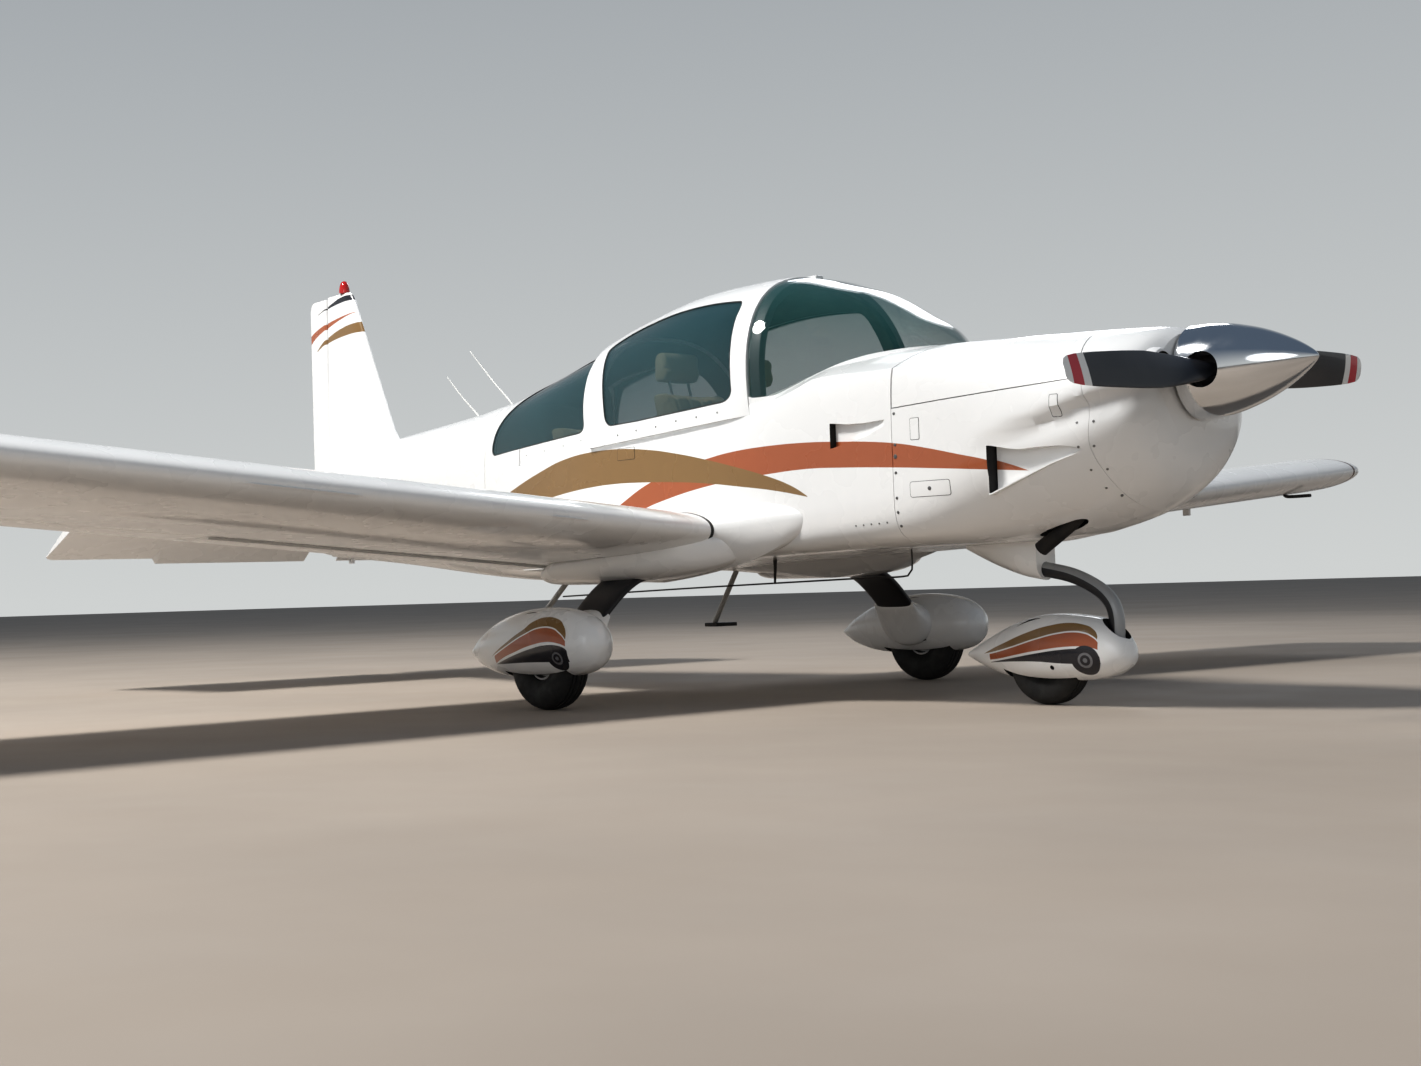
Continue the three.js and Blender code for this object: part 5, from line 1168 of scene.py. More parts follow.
def folded(ring):
    """Pushes the side out above the fold line and in below it"""
    x = ring[0][0]
    line, depth = [np.interp(x, *zip(*table)) for table in (FOLD_LINE, FOLD_DEPTH)]
    off = ring[:, 2] - line
    reach = np.where(off > 0, FOLD_OVER, FOLD_UNDER)
    push = depth * np.tanh(off / FOLD_SOFT) * np.exp(-((off / reach) ** 2))
    near_side = np.clip(np.abs(ring[:, 1]) / 200, 0, 1)
    ring[:, 1] += np.sign(ring[:, 1]) * push * near_side
    return ring


def cowl_body(name, x0, x1, grow=0.0, look=None):
    return skin(name, [folded(section(fair(HULL, x), grow)) for x in stations(x0, x1, 16)], look)


def circles(name, table, look, s):
    t = steps_round(64)
    return skin(name, [np.stack([np.full(64, x), s * y + r * np.cos(t), z + r * np.sin(t)], axis=1)
                       for x, y, z, r in table], look)


def joint_side(gap):
    return ([(-300, 500), (2718 + gap, 500)] + [(x + gap, z) for x, z in BOWL_JOINT]
            + [(2614 + gap, 2200), (-300, 2200)])


def split_z(x):
    return 1205 + (x - 1870) * 0.052


cowl_skin = cowl_body("nose_bowl_skin", FIREWALL_X + SEAM, COWL_FRONT_X, look=body_white)
weld(cowl_skin, circles("cheek", CHEEK, body_white, 1), circles("cheek", CHEEK, body_white, -1))
cut(cowl_skin, cowl_body("inside", FIREWALL_X - 5, COWL_FRONT_X - COWL_WALL, -COWL_WALL, lining))
# The inlets and the shaft hole take the near-black on their cut walls: painted shade inside the cowl.
for s in (1, -1):
    cut(cowl_skin, rod("inlet", (2600, s * INLET_Y, INLET_Z), (2970, s * INLET_Y, INLET_Z), INLET_R, 64,
                       shade_and_joint_black))
cut(cowl_skin, rod("shaft_hole", (2770, 0, PROP_Z), (2970, 0, PROP_Z), SHAFT_HOLE, 64, shade_and_joint_black))
aft = keep_in(copy_of(cowl_skin, "aft_skin"), prism("aft_side", joint_side(-SEAM), -WIDE, WIDE))
spine = keep_in(copy_of(cowl_skin, "spine"),
                block("spine_side", FIREWALL_X, 2640, -SPINE_HALF, SPINE_HALF, 1380, 1600))
cut(cowl_skin, prism("joint", joint_side(0), -WIDE, WIDE))
fit(weld(cowl_skin, spine), "airframe", "white_skin", "nose_bowl")
EXHAUST_Y = -180
EXHAUST = [(2510, EXHAUST_Y, 899.5), (2508, EXHAUST_Y, 820), (2470, EXHAUST_Y, 750), (2288, EXHAUST_Y, 623)]
EXHAUST_SLOT = [(2640, EXHAUST_Y, 850), (2470, EXHAUST_Y, 748), (2288, EXHAUST_Y, 623)]
lower_side = [(1800, 400), (3000, 400), (3000, split_z(3000) - 3), (1800, split_z(1800) - 3)]
lower = keep_in(copy_of(aft, "cowl_lower_skin"),
                prism("lower_side", lower_side, -WIDE, WIDE, look=body_white))
# The exhaust slot's cut walls take the near-black: painted shade round the stack.
cut(lower, pipe("exhaust_room", EXHAUST_SLOT, (18, 44, 44), 40, 12, shade_and_joint_black))


def side_y(x, z, table=HULL):
    """Half width of an outer skin at x and height z"""
    ring = folded(section(fair(table, x)))
    near = ring[(ring[:, 1] > 0.5 * ring[:, 1].max())]
    order = np.argsort(near[:, 2])
    return float(np.interp(z, near[order, 2], near[order, 1]))


def ramp(s, top, foot, depth, grow=0.0, outer=60, look=None):
    """A wedge that sinks into the side from its narrow front end to its full depth at the back"""
    rings = []
    x0, x1 = top[0][0] - grow, top[-1][0] + grow
    for x in np.linspace(x0, x1, 24):
        z1 = np.interp(x, *zip(*top)) + grow
        z0 = np.interp(x, *zip(*foot)) - grow
        share = 1 - (np.clip(x, top[0][0], top[-1][0]) - top[0][0]) / (top[-1][0] - top[0][0])
        y = side_y(x, (z0 + z1) / 2)
        inner = min(y - depth * sqrt(share) - grow - 0.5, y + outer - 3)
        rings.append([(x, s * a, b) for a, b in ((inner, z0), (y + outer, z0), (y + outer, z1), (inner, z1))])
    return skin("ramp", rings, look)


SCOOP_TOP = smooth_path([(2302, 1023), (2350, 1012), (2420, 999), (2500, 1001), (2600, 999), (2660, 985)], 12)
SCOOP_FOOT = [(2302, 838), (2420, 890), (2540, 940), (2660, 980)]
SCOOP_DEPTH, VENT_DEPTH = 48, 30
VENT_TOP = [(1548, 1172), (1640, 1160), (1720, 1158), (1832, 1162)]
VENT_FOOT = [(1548, 1067), (1640, 1084), (1740, 1104), (1832, 1140)]
# The slits at the back of the scoop and the vent take the near-black on their walls: painted shade in their
# depth.
for s in (1, -1):
    weld(lower, ramp(s, SCOOP_TOP, SCOOP_FOOT, SCOOP_DEPTH + 4, 6, -6, body_white))
    cut(lower, ramp(s, SCOOP_TOP, SCOOP_FOOT, SCOOP_DEPTH, look=body_white),
        block("slit", 2297, 2305, *sorted((s * 444, s * 530)), 840, 1021, shade_and_joint_black))
    vent_y = side_y(1600, 1120)
    cut(cabin, ramp(s, VENT_TOP, VENT_FOOT, VENT_DEPTH, look=body_white),
        block("slit", 1545, 1551, *sorted((s * (vent_y - VENT_DEPTH - 2), s * 600)), 1068, 1171, shade_and_joint_black))
    smooth(cabin)
fit(lower, "airframe", "white_skin", "cowl_lower")
LID_HINGE = ((1900, 1493.5), (2600, 1451))
for side, s in SIDES:
    y0, y1 = sorted((s * 33, s * 800))
    lid_side = [(FIREWALL_X + RUN, split_z(1874) + 1), (3000, split_z(3000) + 1), (3000, 1800),
                (FIREWALL_X + RUN, 1800)]
    lid = keep_in(copy_of(aft, f"cowl_lid_{side}_skin"), prism("lid_side", lid_side, y0, y1, look=body_white))
    keep_in(lid, prism("lid_front", joint_side(-RUN + 2), -WIDE, WIDE, look=body_white))
    (x0, z0), (x1, z1) = LID_HINGE
    weld(lid, rod("lid_hinge", (x0, s * 30, z0), (x1, s * 30, z1), HINGE_R, 20))
    fit(lid, f"cowl_lid_{side}", "white_skin", f"cowl_lid_{side}")
bpy.data.meshes.remove(aft.data)

# Exhaust: one welded stack under the cowl, smoked black, open at its raked end
soot = finish("soot", (0.008, 0.008, 0.009), 0.55, metal=0.2, shade=(0.018, 0.016, 0.014), bump=(240, 0.3),
              scale=14)
stack = pipe("exhaust_skin", EXHAUST, 30, 48, 8, soot)
# The bore's wall takes the near-black: painted shade inside the smoked stack.
cut(stack, pipe("bore", EXHAUST[1:3] + [(2250, EXHAUST_Y, 596.6)], 26, 40, 8, shade_and_joint_black))
fit(stack, "airframe", "exhaust_steel", "exhaust_pipe")
engine_look = finish("engine_cast", (0.17, 0.175, 0.18), 0.5, metal=0.7, shade=(0.10, 0.10, 0.10),
                     bump=(180, 0.4), scale=12)
engine = bpy.data.objects["engine_block"]
for spot in engine.material_slots:
    spot.material = engine_look

# Propeller: two forged blades painted black with white and red tips, on a hub inside a polished spinner that
# is screwed to its backplate.
SPINNER_BASE_X, PROP_TILT, PROP_REST, BLADE_X = 2893, radians(1.5), radians(2.7), 98
SPINNER_LONG, SPINNER_R, SPINNER_WALL, SHANK_HOLE = 460, 179, 5, 66
HUB_R, FLANGE_R, FLANGE_HOLE = 62, 90, 90.5
thrust = (Matrix.Translation((SPINNER_BASE_X * MM, 0, PROP_Z * MM)) @ Matrix.Rotation(-PROP_TILT, 4, "Y")
          @ Matrix.Rotation(PROP_REST, 4, "X"))
BLADE = [(60, 46, 46, 40), (120, 70, 46, 38), (160, 96, 42, 36), (200, 108, 36, 34), (270, 126, 28, 30),
         (360, 142, 22, 26), (480, 152, 18, 21), (780, 130, 11, 14), (900, 112, 8.5, 11), (945, 98, 7, 10),
         (965, 78, 5.5, 9.5), (975, 46, 4, 9)]
blade_paint = finish("blade_paint", (0.012, 0.014, 0.02), 0.32, coat=0.3, shade=(0.022, 0.023, 0.028),
                     bump=(140, 0.08))
_, by, bz = axes_of(blade_paint)
bz = sum_of(blade_paint, "SUBTRACT", bz, PROP_Z * MM)
blade_reach = sum_of(blade_paint, "SQRT", sum_of(blade_paint, "ADD", sum_of(blade_paint, "MULTIPLY", by, by),
                                                sum_of(blade_paint, "MULTIPLY", bz, bz)))
TIP_WHITE, TIP_RED = (0.78, 0.78, 0.77), (0.50, 0.018, 0.035)
for start, colour in ((0.845, TIP_WHITE), (0.885, TIP_RED), (0.940, TIP_WHITE)):
    lay_over(blade_paint, above(blade_paint, blade_reach, start), colour)


def blade(s):
    rings = []
    for r, chord, thick, pitch in smooth_path(BLADE, 24):
        t = steps_round(40)
        sharpen = np.clip((r - 190) / 120, 0, 1)
        a = chord / 2 * np.cos(t)
        b = thick / 2 * np.sin(t) * (1 - sharpen * 0.55 * np.clip(-np.cos(t), 0, 1))
        p = radians(pitch)
        rings.append(np.stack([BLADE_X + a * sin(p) - b * cos(p), np.full(40, s * r),
                               s * (a * cos(p) + b * sin(p))],
                              axis=1))
    return skin("blade", rings, blade_paint)


propeller = weld(rod("propeller_skin", (5, 0, 0), (155, 0, 0), HUB_R, 48, cast_metal),
                 rod("flange", (5, 0, 0), (23, 0, 0), FLANGE_R, 64, cast_metal), blade(1), blade(-1))
propeller.data.transform(thrust)
fit(propeller, "propeller", "blade_metal", "propeller")
polished = finish("polished_aluminium", (0.78, 0.79, 0.80), 0.07, metal=1.0, shade=(0.74, 0.75, 0.76),
                  rough_to=0.13, scale=5)
SPINNER_LINE = smooth_path([(0, 0, 0), (0.012, 0.062, 0), (0.05, 0.155, 0), (0.12, 0.29, 0), (0.2, 0.42, 0),
                            (0.32, 0.585, 0), (0.45, 0.73, 0), (0.58, 0.84, 0), (0.7, 0.92, 0),
                            (0.85, 0.98, 0), (1, 1, 0)], 0.02)[:, :2]
outer = [(max(r, 0.002) * SPINNER_R, SPINNER_LONG * (1 - t)) for t, r in SPINNER_LINE]
inner = [(max(r * SPINNER_R - SPINNER_WALL, 0.4), (SPINNER_LONG - 2 * SPINNER_WALL) * (1 - t))
         for t, r in SPINNER_LINE]
spinner = turned("spinner_skin", outer[::-1] + inner[:-1], (0, 0, 0), "x", 128, polished)
PLATE_SIDE = [(177, 0), (177, 12), (FLANGE_HOLE, 12), (FLANGE_HOLE, 0)]
backplate = turned("backplate", PLATE_SIDE, (0, 0, 0), "x", 96, cast_metal)
weld(spinner, backplate)
# The shank holes' walls take the near-black: painted shade round the blade roots.
for s in (1, -1):
    cut(spinner, rod("shank_hole", (BLADE_X, s * 50, 0), (BLADE_X, s * 250, 0), SHANK_HOLE, 64, shade_and_joint_black))
spinner.data.transform(thrust)
fit(spinner, "propeller", "polished_metal", "spinner", angle=25)

# Glazing: blown acrylic, tinted green-grey, 8 mm thick. The windscreen beds in the white strip and on a dark
# steel bow; the side panes are screwed into the canopy and the rear roof with black rubber at their edges.
def tinted(name, colour, least, most):
    """Tinted acrylic: clear face on, closing up towards its edges"""
    m = bpy.data.materials.new(name)
    m.use_nodes = True
    shader = m.node_tree.nodes["Principled BSDF"]
    shader.inputs["Roughness"].default_value = 0.04
    shader.inputs["Specular IOR Level"].default_value = 0.8
    shader.inputs["Coat Weight"].default_value = 1.0
    tone = blend_colours(m, cloud(m, 1.4), colour, [1.25 * c for c in colour])
    m.node_tree.links.new(tone, shader.inputs["Base Color"])
    facing = put(m, "LayerWeight", {"Blend": 0.35}).outputs["Facing"]
    alpha = put(m, "MapRange", {0: facing, 1: 0.0, 2: 1.0, 3: least, 4: most}).outputs[0]
    m.node_tree.links.new(alpha, shader.inputs["Alpha"])
    return m


pane_tint = tinted("pane_tint", (0.030, 0.078, 0.088), 0.26, 0.76)
screen_tint = tinted("screen_tint", (0.03, 0.11, 0.105), 0.10, 0.62)
PANE_OUT, PANE_IN, BOW_OUT, BOW_IN = 4, 12, 12.4, 46     # depths below the canopy's outer face
screen = cut(bubble("windscreen_skin", -PANE_OUT, look=screen_tint),
             bubble("inner", -PANE_IN, look=screen_tint))
screen_side = ([(1830, 2200), (front_arch(RUN, 2200), 2200), (front_arch(RUN, 1331), 1331)]
               + [(x, z + 0.5) for x, z in SCREEN_FOOT if 1090 < x < 1822])
keep_in(screen, prism("screen_side", screen_side, -ACROSS, ACROSS, look=screen_tint))
cut(screen, hull("hull", 900, FIREWALL_X, SNUG))
fit(screen, "airframe", "tinted_glazing", "windscreen")
bow_black = finish("bow_black", (0.016, 0.018, 0.024), 0.42, shade=(0.028, 0.03, 0.036), bump=(220, 0.15))
bow = cut(bubble("windscreen_bow_skin", -BOW_OUT, look=bow_black), bubble("inner", -BOW_IN, look=bow_black))
bow_side = [(front_arch(RUN, 1200), sill(1080) + 0.4), (front_arch(50, 1200), sill(1130) + 0.4),
            (front_arch(50, 2200), 2200), (front_arch(RUN, 2200), 2200)]
keep_in(bow, prism("bow_side", bow_side, -ACROSS, ACROSS, look=bow_black))
cut(bow, hull("hull", 900, FIREWALL_X, SNUG))
fit(soften(bow, 4, 3), "airframe", "dark_trim", "windscreen_bow")

# Canopy: a moulded frame, gloss white outside, that slides aft on rails in the deck. A rubber seal lies round
# each of its panes and round those of the rear roof.
CANOPY_WALL = 20
canopy = cut(bubble("canopy_frame_skin", look=plain_white), bubble("inner", -CANOPY_WALL, look=lining))
canopy_side = [(14, sill(14) + 0.5), (1084, sill(1084) + 0.5), (front_arch(0, 2200), 2200),
               (rear_arch(0, 2200), 2200)]
keep_in(canopy, prism("canopy_side", canopy_side, -ACROSS, ACROSS, look=plain_white))
rim_side = [(14, sill(14) + 0.5), (36, sill(36) + 0.5), (rear_arch(22, 2200), 2200),
            (rear_arch(0, 2200), 2200)]
rim = cut(bubble("rim", -2, look=lining), rear_roof("roof", RUN + 1, look=lining))
keep_in(rim, prism("rim_side", rim_side, -ACROSS, ACROSS, look=lining))
weld(canopy, rim)
for side, span in SPAN.items():
    cut(canopy, prism("window", CANOPY_WINDOW, *span, look=plain_white))
weld(canopy, soften(block("tab", 962, 1016, -24, 24, 1889, 1911, plain_white), 3, 3))
fit(canopy, "canopy", "white_hollow", "canopy_frame")
SEAL_WIDE = 5.4
PANES = (("canopy_window", "canopy", CANOPY_WINDOW, bubble),
         ("rear_window", "airframe", REAR_WINDOW, rear_roof))
for name, body, outline, surface in PANES:
    for side, span in SPAN.items():
        pane = cut(surface(f"{name}_{side}_skin", -PANE_OUT, look=pane_tint),
                   surface("inner", -PANE_IN, look=pane_tint))
        keep_in(pane, prism("pane_side", drawn_in(outline, SEAL_WIDE + 0.1), *span, look=pane_tint))
        fit(pane, body, "tinted_glazing", f"{name}_{side}")
        seal = cut(surface(f"{name}_seal_{side}", -1.5, look=black_rubber),
                   surface("inner", -15, look=black_rubber))
        ring = cut(prism("ring", drawn_in(outline, 0.3), *span, look=black_rubber),
                   prism("hole", drawn_in(outline, SEAL_WIDE), -900, 900, look=black_rubber))
        keep_in(seal, ring)
        fit(seal, body, "dark_trim")

# Seats: two front seats and a rear bench, foam under tan cloth with sewn channels, on black moulded bases.
# The pads are plumped by a short cloth simulation from a slightly smaller shape.
upholstery = finish("tan_cloth", (0.36, 0.31, 0.19), 0.85, shade=(0.30, 0.255, 0.155), bump=(1500, 0.5),
                    scale=6)
upholstery.node_tree.nodes["Principled BSDF"].inputs["Sheen Weight"].default_value = 0.25
moulded_black = finish("moulded_black", (0.02, 0.02, 0.021), 0.5, shade=(0.03, 0.03, 0.03), bump=(500, 0.3))
SWELL_CAP, PUFF_PRESSURE, PUFF_FRAMES = 0.024, 4, 20


def plump(pad, voxel):
    """Remeshes the pad, inflates it a little as cloth, and rounds the result"""
    pick(pad)
    remesh = pad.modifiers.new("even", "REMESH")
    remesh.mode, remesh.voxel_size = "VOXEL", voxel * MM
    bpy.ops.object.modifier_apply(modifier=remesh.name)
    flat = np.empty(3 * len(pad.data.vertices))
    pad.data.vertices.foreach_get("co", flat)
    cloth = pad.modifiers.new("plump", "CLOTH")
    cloth.settings.use_pressure = True
    cloth.settings.uniform_pressure_force = PUFF_PRESSURE
    cloth.settings.effector_weights.gravity = 0
    for frame_number in range(1, PUFF_FRAMES + 1):
        bpy.context.scene.frame_set(frame_number)
    swollen = pad.evaluated_get(bpy.context.evaluated_depsgraph_get()).to_mesh()
    full = np.empty_like(flat)
    swollen.vertices.foreach_get("co", full)
    pad.modifiers.remove(cloth)
    bpy.context.scene.frame_set(1)
    move = (full - flat).reshape(-1, 3)
    far = np.linalg.norm(move, axis=1)[:, None]
    move *= np.minimum(1, SWELL_CAP / np.maximum(far, 1e-9))
    pad.data.vertices.foreach_set("co", (flat.reshape(-1, 3) + move).ravel())
    pad.data.update()
    return pad


def sewn(pad, seams, depth=6, wide=7):
    """Presses sewn channels along X and Z into the pad at each y in seams"""
    made = pad.modifiers.new("fine", "SUBSURF")
    made.levels = made.render_levels = 1
    pick(pad)
    bpy.ops.object.modifier_apply(modifier=made.name)
    count = len(pad.data.vertices)
    place, normal = np.empty(3 * count), np.empty(3 * count)
    pad.data.vertices.foreach_get("co", place)
    pad.data.vertex_normals.foreach_get("vector", normal)
    place, normal = place.reshape(-1, 3), normal.reshape(-1, 3)
    for y in seams:
        press = depth * MM * np.exp(-(((place[:, 1] / MM - y) / wide) ** 2))
        place = place - normal * (press * (1 - np.abs(normal[:, 1])))[:, None]
    pad.data.vertices.foreach_set("co", place.ravel())
    pad.data.update()
    return pad


def pad(name, side, y0, y1, voxel, seams=(), inset=14):
    o = prism(name, drawn_in(side, inset), y0 + inset, y1 - inset, look=upholstery)
    sewn(plump(soften(o, 24, 4, 20), voxel), seams)
    return o


def moved(o, name, dy):
    twin = copy_of(o, name)
    twin.data.transform(Matrix.Translation((0, dy * MM, 0)))
    return twin


def hand_over_pad(o, *nodes):
    fit(o, "airframe", "tan_upholstery", *nodes, angle=80)


SEAT_Y, SEAT_HALF, BASE_HALF, HEADREST_HALF, POST_Y = 250, 215, 180, 120, 60
BENCH_HALF, BENCH_BASE_HALF, PAD_FOOT = 450, 395, 812
BACK_SIDE = [(462, 816), (540, 838), (612, 905), (560, 1090), (500, 1270), (452, 1425), (420, 1446),
             (340, 1446), (318, 1425), (372, 1180), (430, 900)]
CUSHION_SIDE = [(600, 806), (946, 806), (956, 850), (950, 905), (900, 930), (720, 915), (600, 892)]
HEADREST_SIDE = [(276, 1476), (352, 1476), (376, 1520), (368, 1610), (340, 1634), (290, 1634), (268, 1600),
                 (262, 1510)]
front_seams = [SEAT_Y + d for d in (-150, -75, 0, 75, 150)]
seat_back = pad("seat_back_left", BACK_SIDE, SEAT_Y - SEAT_HALF, SEAT_Y + SEAT_HALF, 10, front_seams)
seat_cushion = pad("seat_cushion_left", CUSHION_SIDE, SEAT_Y - SEAT_HALF, SEAT_Y + SEAT_HALF, 10, front_seams)
headrest = pad("headrest_left", HEADREST_SIDE, SEAT_Y - HEADREST_HALF, SEAT_Y + HEADREST_HALF, 7, inset=10)
for twin, name in ((seat_back, "seat_back_right"), (seat_cushion, "seat_cushion_right"),
                   (headrest, "headrest_right")):
    copied = moved(twin, name, -2 * SEAT_Y)
    hand_over_pad(copied, *(["seat_front_right"] if twin is seat_back else []))
    hand_over_pad(twin, *(["seat_front_left"] if twin is seat_back else []))
for side, s in SIDES:
    y0, y1 = s * SEAT_Y - BASE_HALF, s * SEAT_Y + BASE_HALF
    base = block(f"seat_base_{side}", 480, 900, y0, y1, 646, PAD_FOOT, moulded_black)
    fit(soften(base, 14, 3), "airframe", "dark_trim")
    posts = weld(*[rod(f"headrest_posts_{side}", (345, y, 1420), (322, y, 1500), 7, 20, cast_metal)
                   for y in (s * SEAT_Y - POST_Y, s * SEAT_Y + POST_Y)])
    fit(posts, "airframe", "strut_steel")
REAR_BACK_SIDE = [(-338, 812), (-200, 880), (-250, 1080), (-330, 1320), (-352, 1352), (-448, 1352),
                  (-470, 1330), (-400, 1080), (-350, 900)]
REAR_CUSHION_SIDE = [(-210, 806), (100, 806), (110, 850), (100, 900), (60, 918), (-120, 905), (-210, 890)]
bench_seams = [-320, -215, -110, 0, 110, 215, 320]
hand_over_pad(pad("bench_back", REAR_BACK_SIDE, -BENCH_HALF, BENCH_HALF, 14, bench_seams), "seat_rear")
hand_over_pad(pad("bench_cushion", REAR_CUSHION_SIDE, -BENCH_HALF, BENCH_HALF, 14, bench_seams))
bench_base = block("bench_base", -320, 60, -BENCH_BASE_HALF, BENCH_BASE_HALF, 610, PAD_FOOT, moulded_black)
fit(soften(bench_base, 12, 3), "airframe", "dark_trim")

# Instrument panel: a black moulded fascia under a deep glareshield, round dials with white scales, a radio
# stack and two control wheels on steel shafts. The console below it carries the throttle quadrant.
PANEL_SIDE = [(1500, 1062), (1482, 1425), (1436, 1440), (1424, 1462), (1640, 1464), (1604, 1062)]
panel = prism("instrument_panel_skin", PANEL_SIDE, -535, 535, look=moulded_black)
keep_in(panel, hull("room", -900, 1830, -34.6))
DIALS = [(y, z) for y in (165, 252, 339) for z in (1368, 1278)] + [(-170, 1368), (-260, 1368), (-170, 1280)]


def fascia_x(z):
    return 1500 - (z - 1062) * 18 / 363


for y, z in DIALS:
    cut(panel, rod("dial_hole", (fascia_x(z) - 30, y, z), (fascia_x(z) + 6, y, z), 38, 40, moulded_black))
for k in range(3):
    weld(panel, soften(block("radio", 1474, 1500, -88, 88, 1190 + 78 * k, 1250 + 78 * k, moulded_black), 3,
                       2))
fit(soften(panel, 1.5, 2, 60), "airframe", "dark_trim", "instrument_panel")
dial_look = finish("dial_face", (0.02, 0.02, 0.022), 0.3, shade=(0.03, 0.03, 0.03))
scale_white = finish("scale_white", (0.7, 0.7, 0.68), 0.5)
dials = None
for y, z in DIALS:
    x = fascia_x(z)
    face = turned("dials", [(36, -3), (36, 2), (31, 1), (0.4, 1), (0.4, -3)], (x, y, z), "x", 40, dial_look)
    scale = turned("scale", [(29, 0.5), (29, -1.6), (27, -1.6), (27, 0.5)], (x, y, z), "x", 40, scale_white)
    needle = rod("needle", (x - 1, y, z), (x - 1, y + 18, z + 15), 1.3, 8, scale_white)
    dials = weld(face, scale, needle) if dials is None else weld(dials, weld(face, scale, needle))
dials.name = "panel_dials"
fit(dials, "airframe", "dark_trim")
for side, s in SIDES:
    y = s * 250
    grip = pipe(f"control_wheel_{side}", [(1216, y - 138, 1288), (1214, y - 134, 1230), (1214, y - 92, 1192),
                                          (1214, y, 1188), (1214, y + 92, 1192), (1214, y + 134, 1230),
                                          (1216, y + 138, 1288)], 13, 24, 8, moulded_black,
                side_way=(1, 0, 0))
    weld(grip, soften(block("boss", 1196, 1232, y - 45, y + 45, 1166, 1212, moulded_black), 8, 3),
         rod("shaft", (1220, y, 1190), (1500, y, 1190), 12, 24, cast_metal))
    fit(grip, "airframe", "dark_trim")
console = soften(block("console_skin", 1042, 1478, -44, 44, 662, 1058, moulded_black), 8, 3)
for y, high in ((-22, 52), (0, 40), (22, 46)):
    weld(console, rod("lever", (1250, y, 1052), (1240, y, 1058 + high), 4, 12, cast_metal),
         rod("knob", (1241, y, 1056 + high), (1238, y, 1078 + high), 9, 20, moulded_black))
fit(console, "airframe", "dark_trim", "console")

# Small outside pieces: two sprung whip antennas on rubber feet on the tail, a taut belly wire with its mast,
# a bent pitot tube under the left wing, and a red glass beacon on the fin.
whip_white = finish("whip_white", (0.62, 0.62, 0.60), 0.4, bump=(200, 0.1))
for name, x0, z0, x1, z1 in (("front", -1242, 1502, -1655, 1886), ("rear", -1576, 1484, -1886, 1765)):
    whip = pipe(f"whip_{name}", [(x0, 0, z0 - 30), (x0 - 6, 0, z0 + 14),
                                 ((x0 + x1) / 2 - 8, 0, (z0 + z1) / 2 + 6), (x1, 0, z1)], (6, 6, 4.2, 2.4),
                20, 12, whip_white)
    deselect()
    bpy.ops.mesh.primitive_cone_add(vertices=32, radius1=22 * MM, radius2=9 * MM, depth=36 * MM,
                                    location=(x0 * MM, 0, (z0 + 4) * MM))
    foot = bpy.context.object
    foot.data.transform(Matrix.Translation(foot.location))
    foot.location = (0, 0, 0)
    foot.data.materials.append(black_rubber)
    fit(cut(weld(whip, foot), hull("hull", -2500, -600, 0.3)), "airframe", "white_skin",
        f"whip_antenna_{name}")
WIRE_Y = -60
wire_black = finish("wire_black", (0.02, 0.02, 0.02), 0.5, bump=(300, 0.2))
wire = pipe("belly_antenna_skin", [(1538, WIRE_Y, 690), (1538, WIRE_Y, 560), (1514, WIRE_Y, 534),
                                   (1300, WIRE_Y, 530), (200, WIRE_Y, 506), (-817, WIRE_Y, 479)], 4, 12, 24,
            wire_black)
weld(wire, pipe("mast", [(733, WIRE_Y, 690), (733, WIRE_Y, 600), (728, WIRE_Y, 514)], (16, 8, 5), 20, 12,
                wire_black))
cut(wire, hull("hull", -900, FIREWALL_X + 200, 0.3))
fit(wire, "airframe", "dark_trim", "belly_antenna")
PITOT_Y = 4260
pitot = pipe("pitot_tube_skin", [(760, PITOT_Y, 1010), (760, PITOT_Y, 972), (772, PITOT_Y, 948),
                                 (800, PITOT_Y, 942), (930, PITOT_Y, 942)], 10, 28, 6, black_paint)
# The pitot's bore takes the near-black: painted shade inside the tube.
cut(pitot, rod("bore", (905, PITOT_Y, 942), (960, PITOT_Y, 942), 4.5, 20, shade_and_joint_black), wing_body(1),
    wing_body(1, SNUG))
fit(pitot, "airframe", "strut_steel", "pitot_tube")
red_lens = finish("red_lens", (0.42, 0.012, 0.010), 0.12, coat=0.8, shade=(0.36, 0.01, 0.01))
lens = turned("beacon_skin", [(0.3, 0), (34, 0), (34, 20), (33, 26), (30, 44), (24, 62), (15, 73), (6, 77.4),
                              (0.3, 78)],
              (-2950, 0, FIN_TOP_Z + 0.4), "z", 48, red_lens)
fit(lens, "airframe", "red_lens", "beacon")

# Fasteners and small flush fittings of the skins: quarter-turn studs along the joints, screws along the
# canopy skirt, spring latches, and an access door on each side of the cowl.
stud_steel = finish("stud_steel", (0.20, 0.20, 0.20), 0.4, metal=0.8, shade=(0.12, 0.12, 0.12),
                    bump=(200, 0.2))


def side_spot(x, z, s, table=HULL):
    """Place on a skin at x and z, and the direction out of it"""
    step = 6
    y = side_y(x, z, table)
    slope_x = (side_y(x + step, z, table) - side_y(x - step, z, table)) / (2 * step)
    slope_z = (side_y(x, z + step, table) - side_y(x, z - step, table)) / (2 * step)
    return (x, s * y, z), (-slope_x, s, -slope_z)


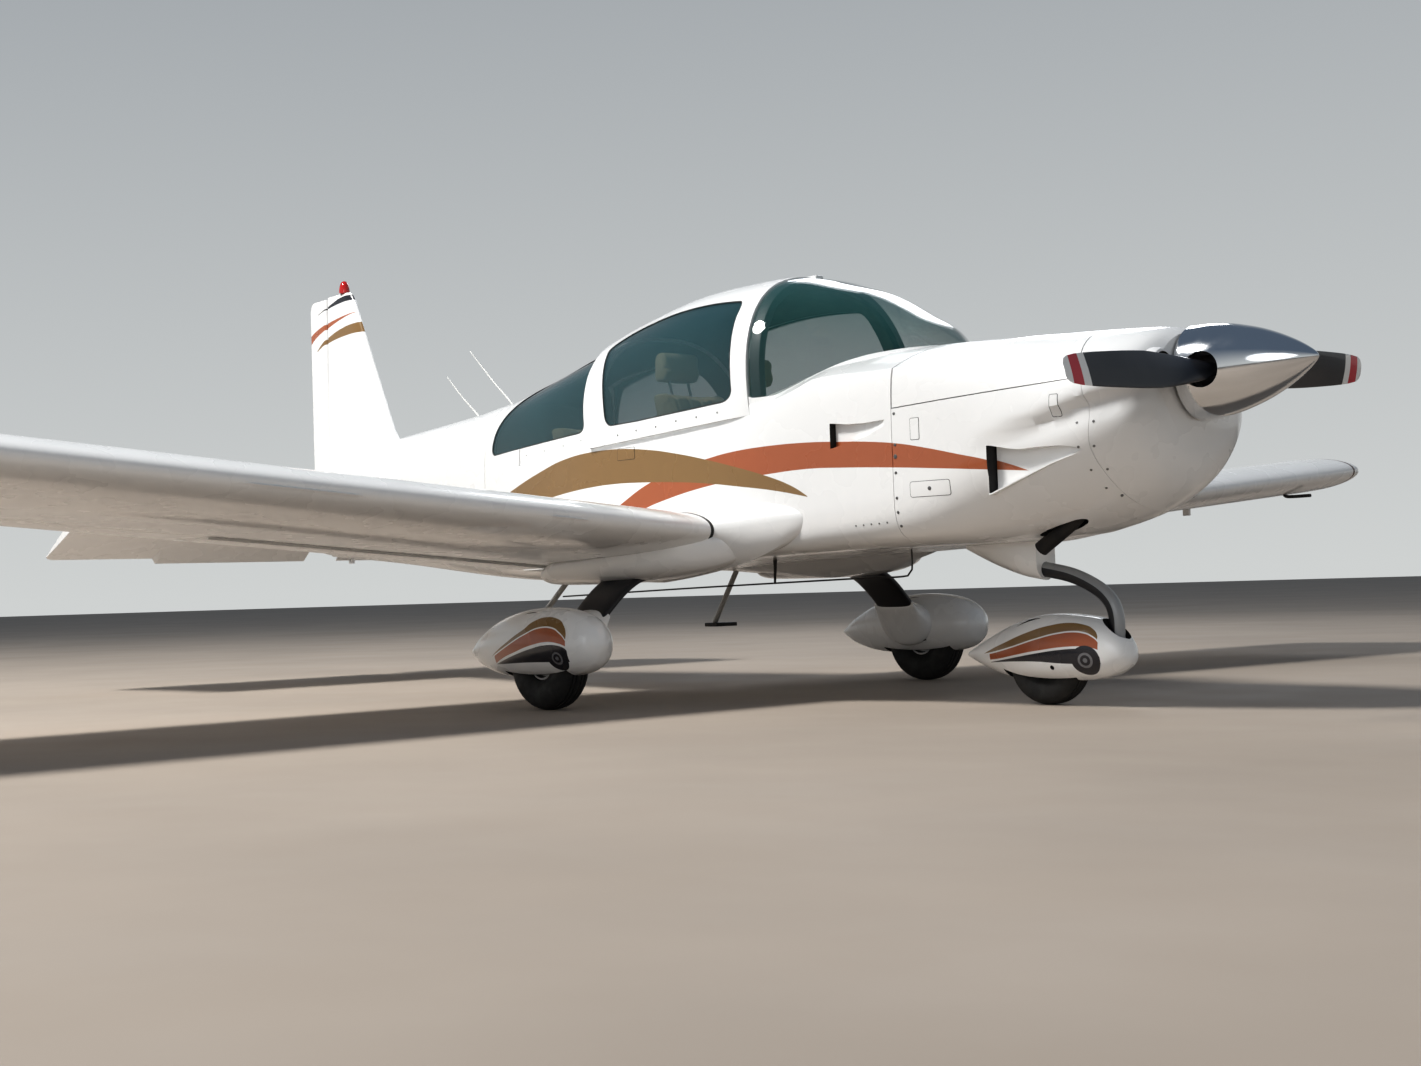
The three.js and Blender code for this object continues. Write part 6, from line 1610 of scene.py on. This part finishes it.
def studs(name, spots, radius, body, proud):
    """Round fastener heads, modelled once and copied to each place and direction"""
    master = soften(rod("head", (0, 0, -4), (0, 0, proud), radius, 20, stud_steel), 0.7, 2)
    heads = []
    for place, out in spots:
        head = copy_of(master, name)
        head.data.transform(aimed(place, out))
        heads.append(head)
    bpy.data.meshes.remove(master.data)
    deselect()
    for head in heads:
        head.select_set(True)
    bpy.context.view_layer.objects.active = heads[0]
    bpy.ops.object.join()
    return fit(heads[0], body, "dark_trim")


STUD_X, RIM = FIREWALL_X + 14, 2
FIREWALL_STUDS = [(STUD_X, z) for z in (1182, 1057, 945, 844, 787, 732)]
BOWL_STUDS = [(2670, 838), (2695, 809), (2662, 905), (2652, 990), (2656, 1080), (2712, 905), (2704, 990),
              (2716, 1080)]
SKIRT_SCREWS = [(236, 1233), (368, 1244), (504, 1249), (640, 1263), (772, 1269), (904, 1277)]
ROOF_SCREWS = [(-880, 1196), (-720, 1196), (-560, 1200), (-400, 1210), (-240, 1222), (-96, 1236), (-60, 1330),
               (-84, 1440), (-110, 1540)]
FOOT_SCREWS = [(1660, 743), (1700, 744), (1740, 746), (1780, 747), (1820, 749)]
for name, spots, table, radius, body, proud in (
        ("firewall_studs_6", FIREWALL_STUDS, HULL, 6, "airframe", 1.4),
        ("firewall_studs_9", [(STUD_X, 1010)], HULL, 9, "airframe", 1.4),
        ("bowl_studs", BOWL_STUDS, HULL, 5, "airframe", 1.4),
        ("skirt_screws", SKIRT_SCREWS, BUBBLE, 4.5, "canopy", 0.8),
        ("rear_roof_screws", ROOF_SCREWS, REAR_ROOF, 3.6, "airframe", 0.5),
        ("foot_screws", FOOT_SCREWS, HULL, 4, "airframe", 0.8)):
    studs(name, [side_spot(x, z, s, table) for x, z in spots for s in (1, -1)], radius, body, proud)


def patch(name, x0, x1, z0, z1, s, look, proud, corner):
    """A thin plate with rounded corners that follows the side's skin"""
    plate = cowl_body(name, x0 - 20, x1 + 20, proud, look)
    outline = rounded_box(x0, x1, z0, z1, corner, 4)
    keep_in(plate, prism("edge", outline, *sorted((s * 200, s * 800)), look=look))
    return fit(plate, "airframe", "white_skin")


def plate_in_rim(name, rim_name, x0, x1, z0, z1, s, look, corner):
    """A painted plate with a dark joint round it"""
    patch(rim_name, x0 - RIM, x1 + RIM, z0 - RIM, z1 + RIM, s, shade_and_joint_black, 0.5, corner + 1)
    patch(name, x0, x1, z0, z1, s, look, 1.1, corner)


LATCHES = [(1960, 2000, 1071, 1155), (2570, 2601, 1109, 1190)]
for side, s in SIDES:
    for place in LATCHES:
        plate_in_rim(f"latch_{side}", f"latch_rim_{side}", *place, s, plain_white, 5)
    plate_in_rim(f"access_door_{side}", f"access_rim_{side}", 1950, 2132, 844, 903, s, body_white, 11)
    studs(f"access_stud_{side}", [side_spot(2040, 874, s)], 8, "airframe", 2.4)
    plate_in_rim(f"step_plate_{side}", f"step_plate_rim_{side}", 215, 335, 1116, 1170, s, body_white, 5)
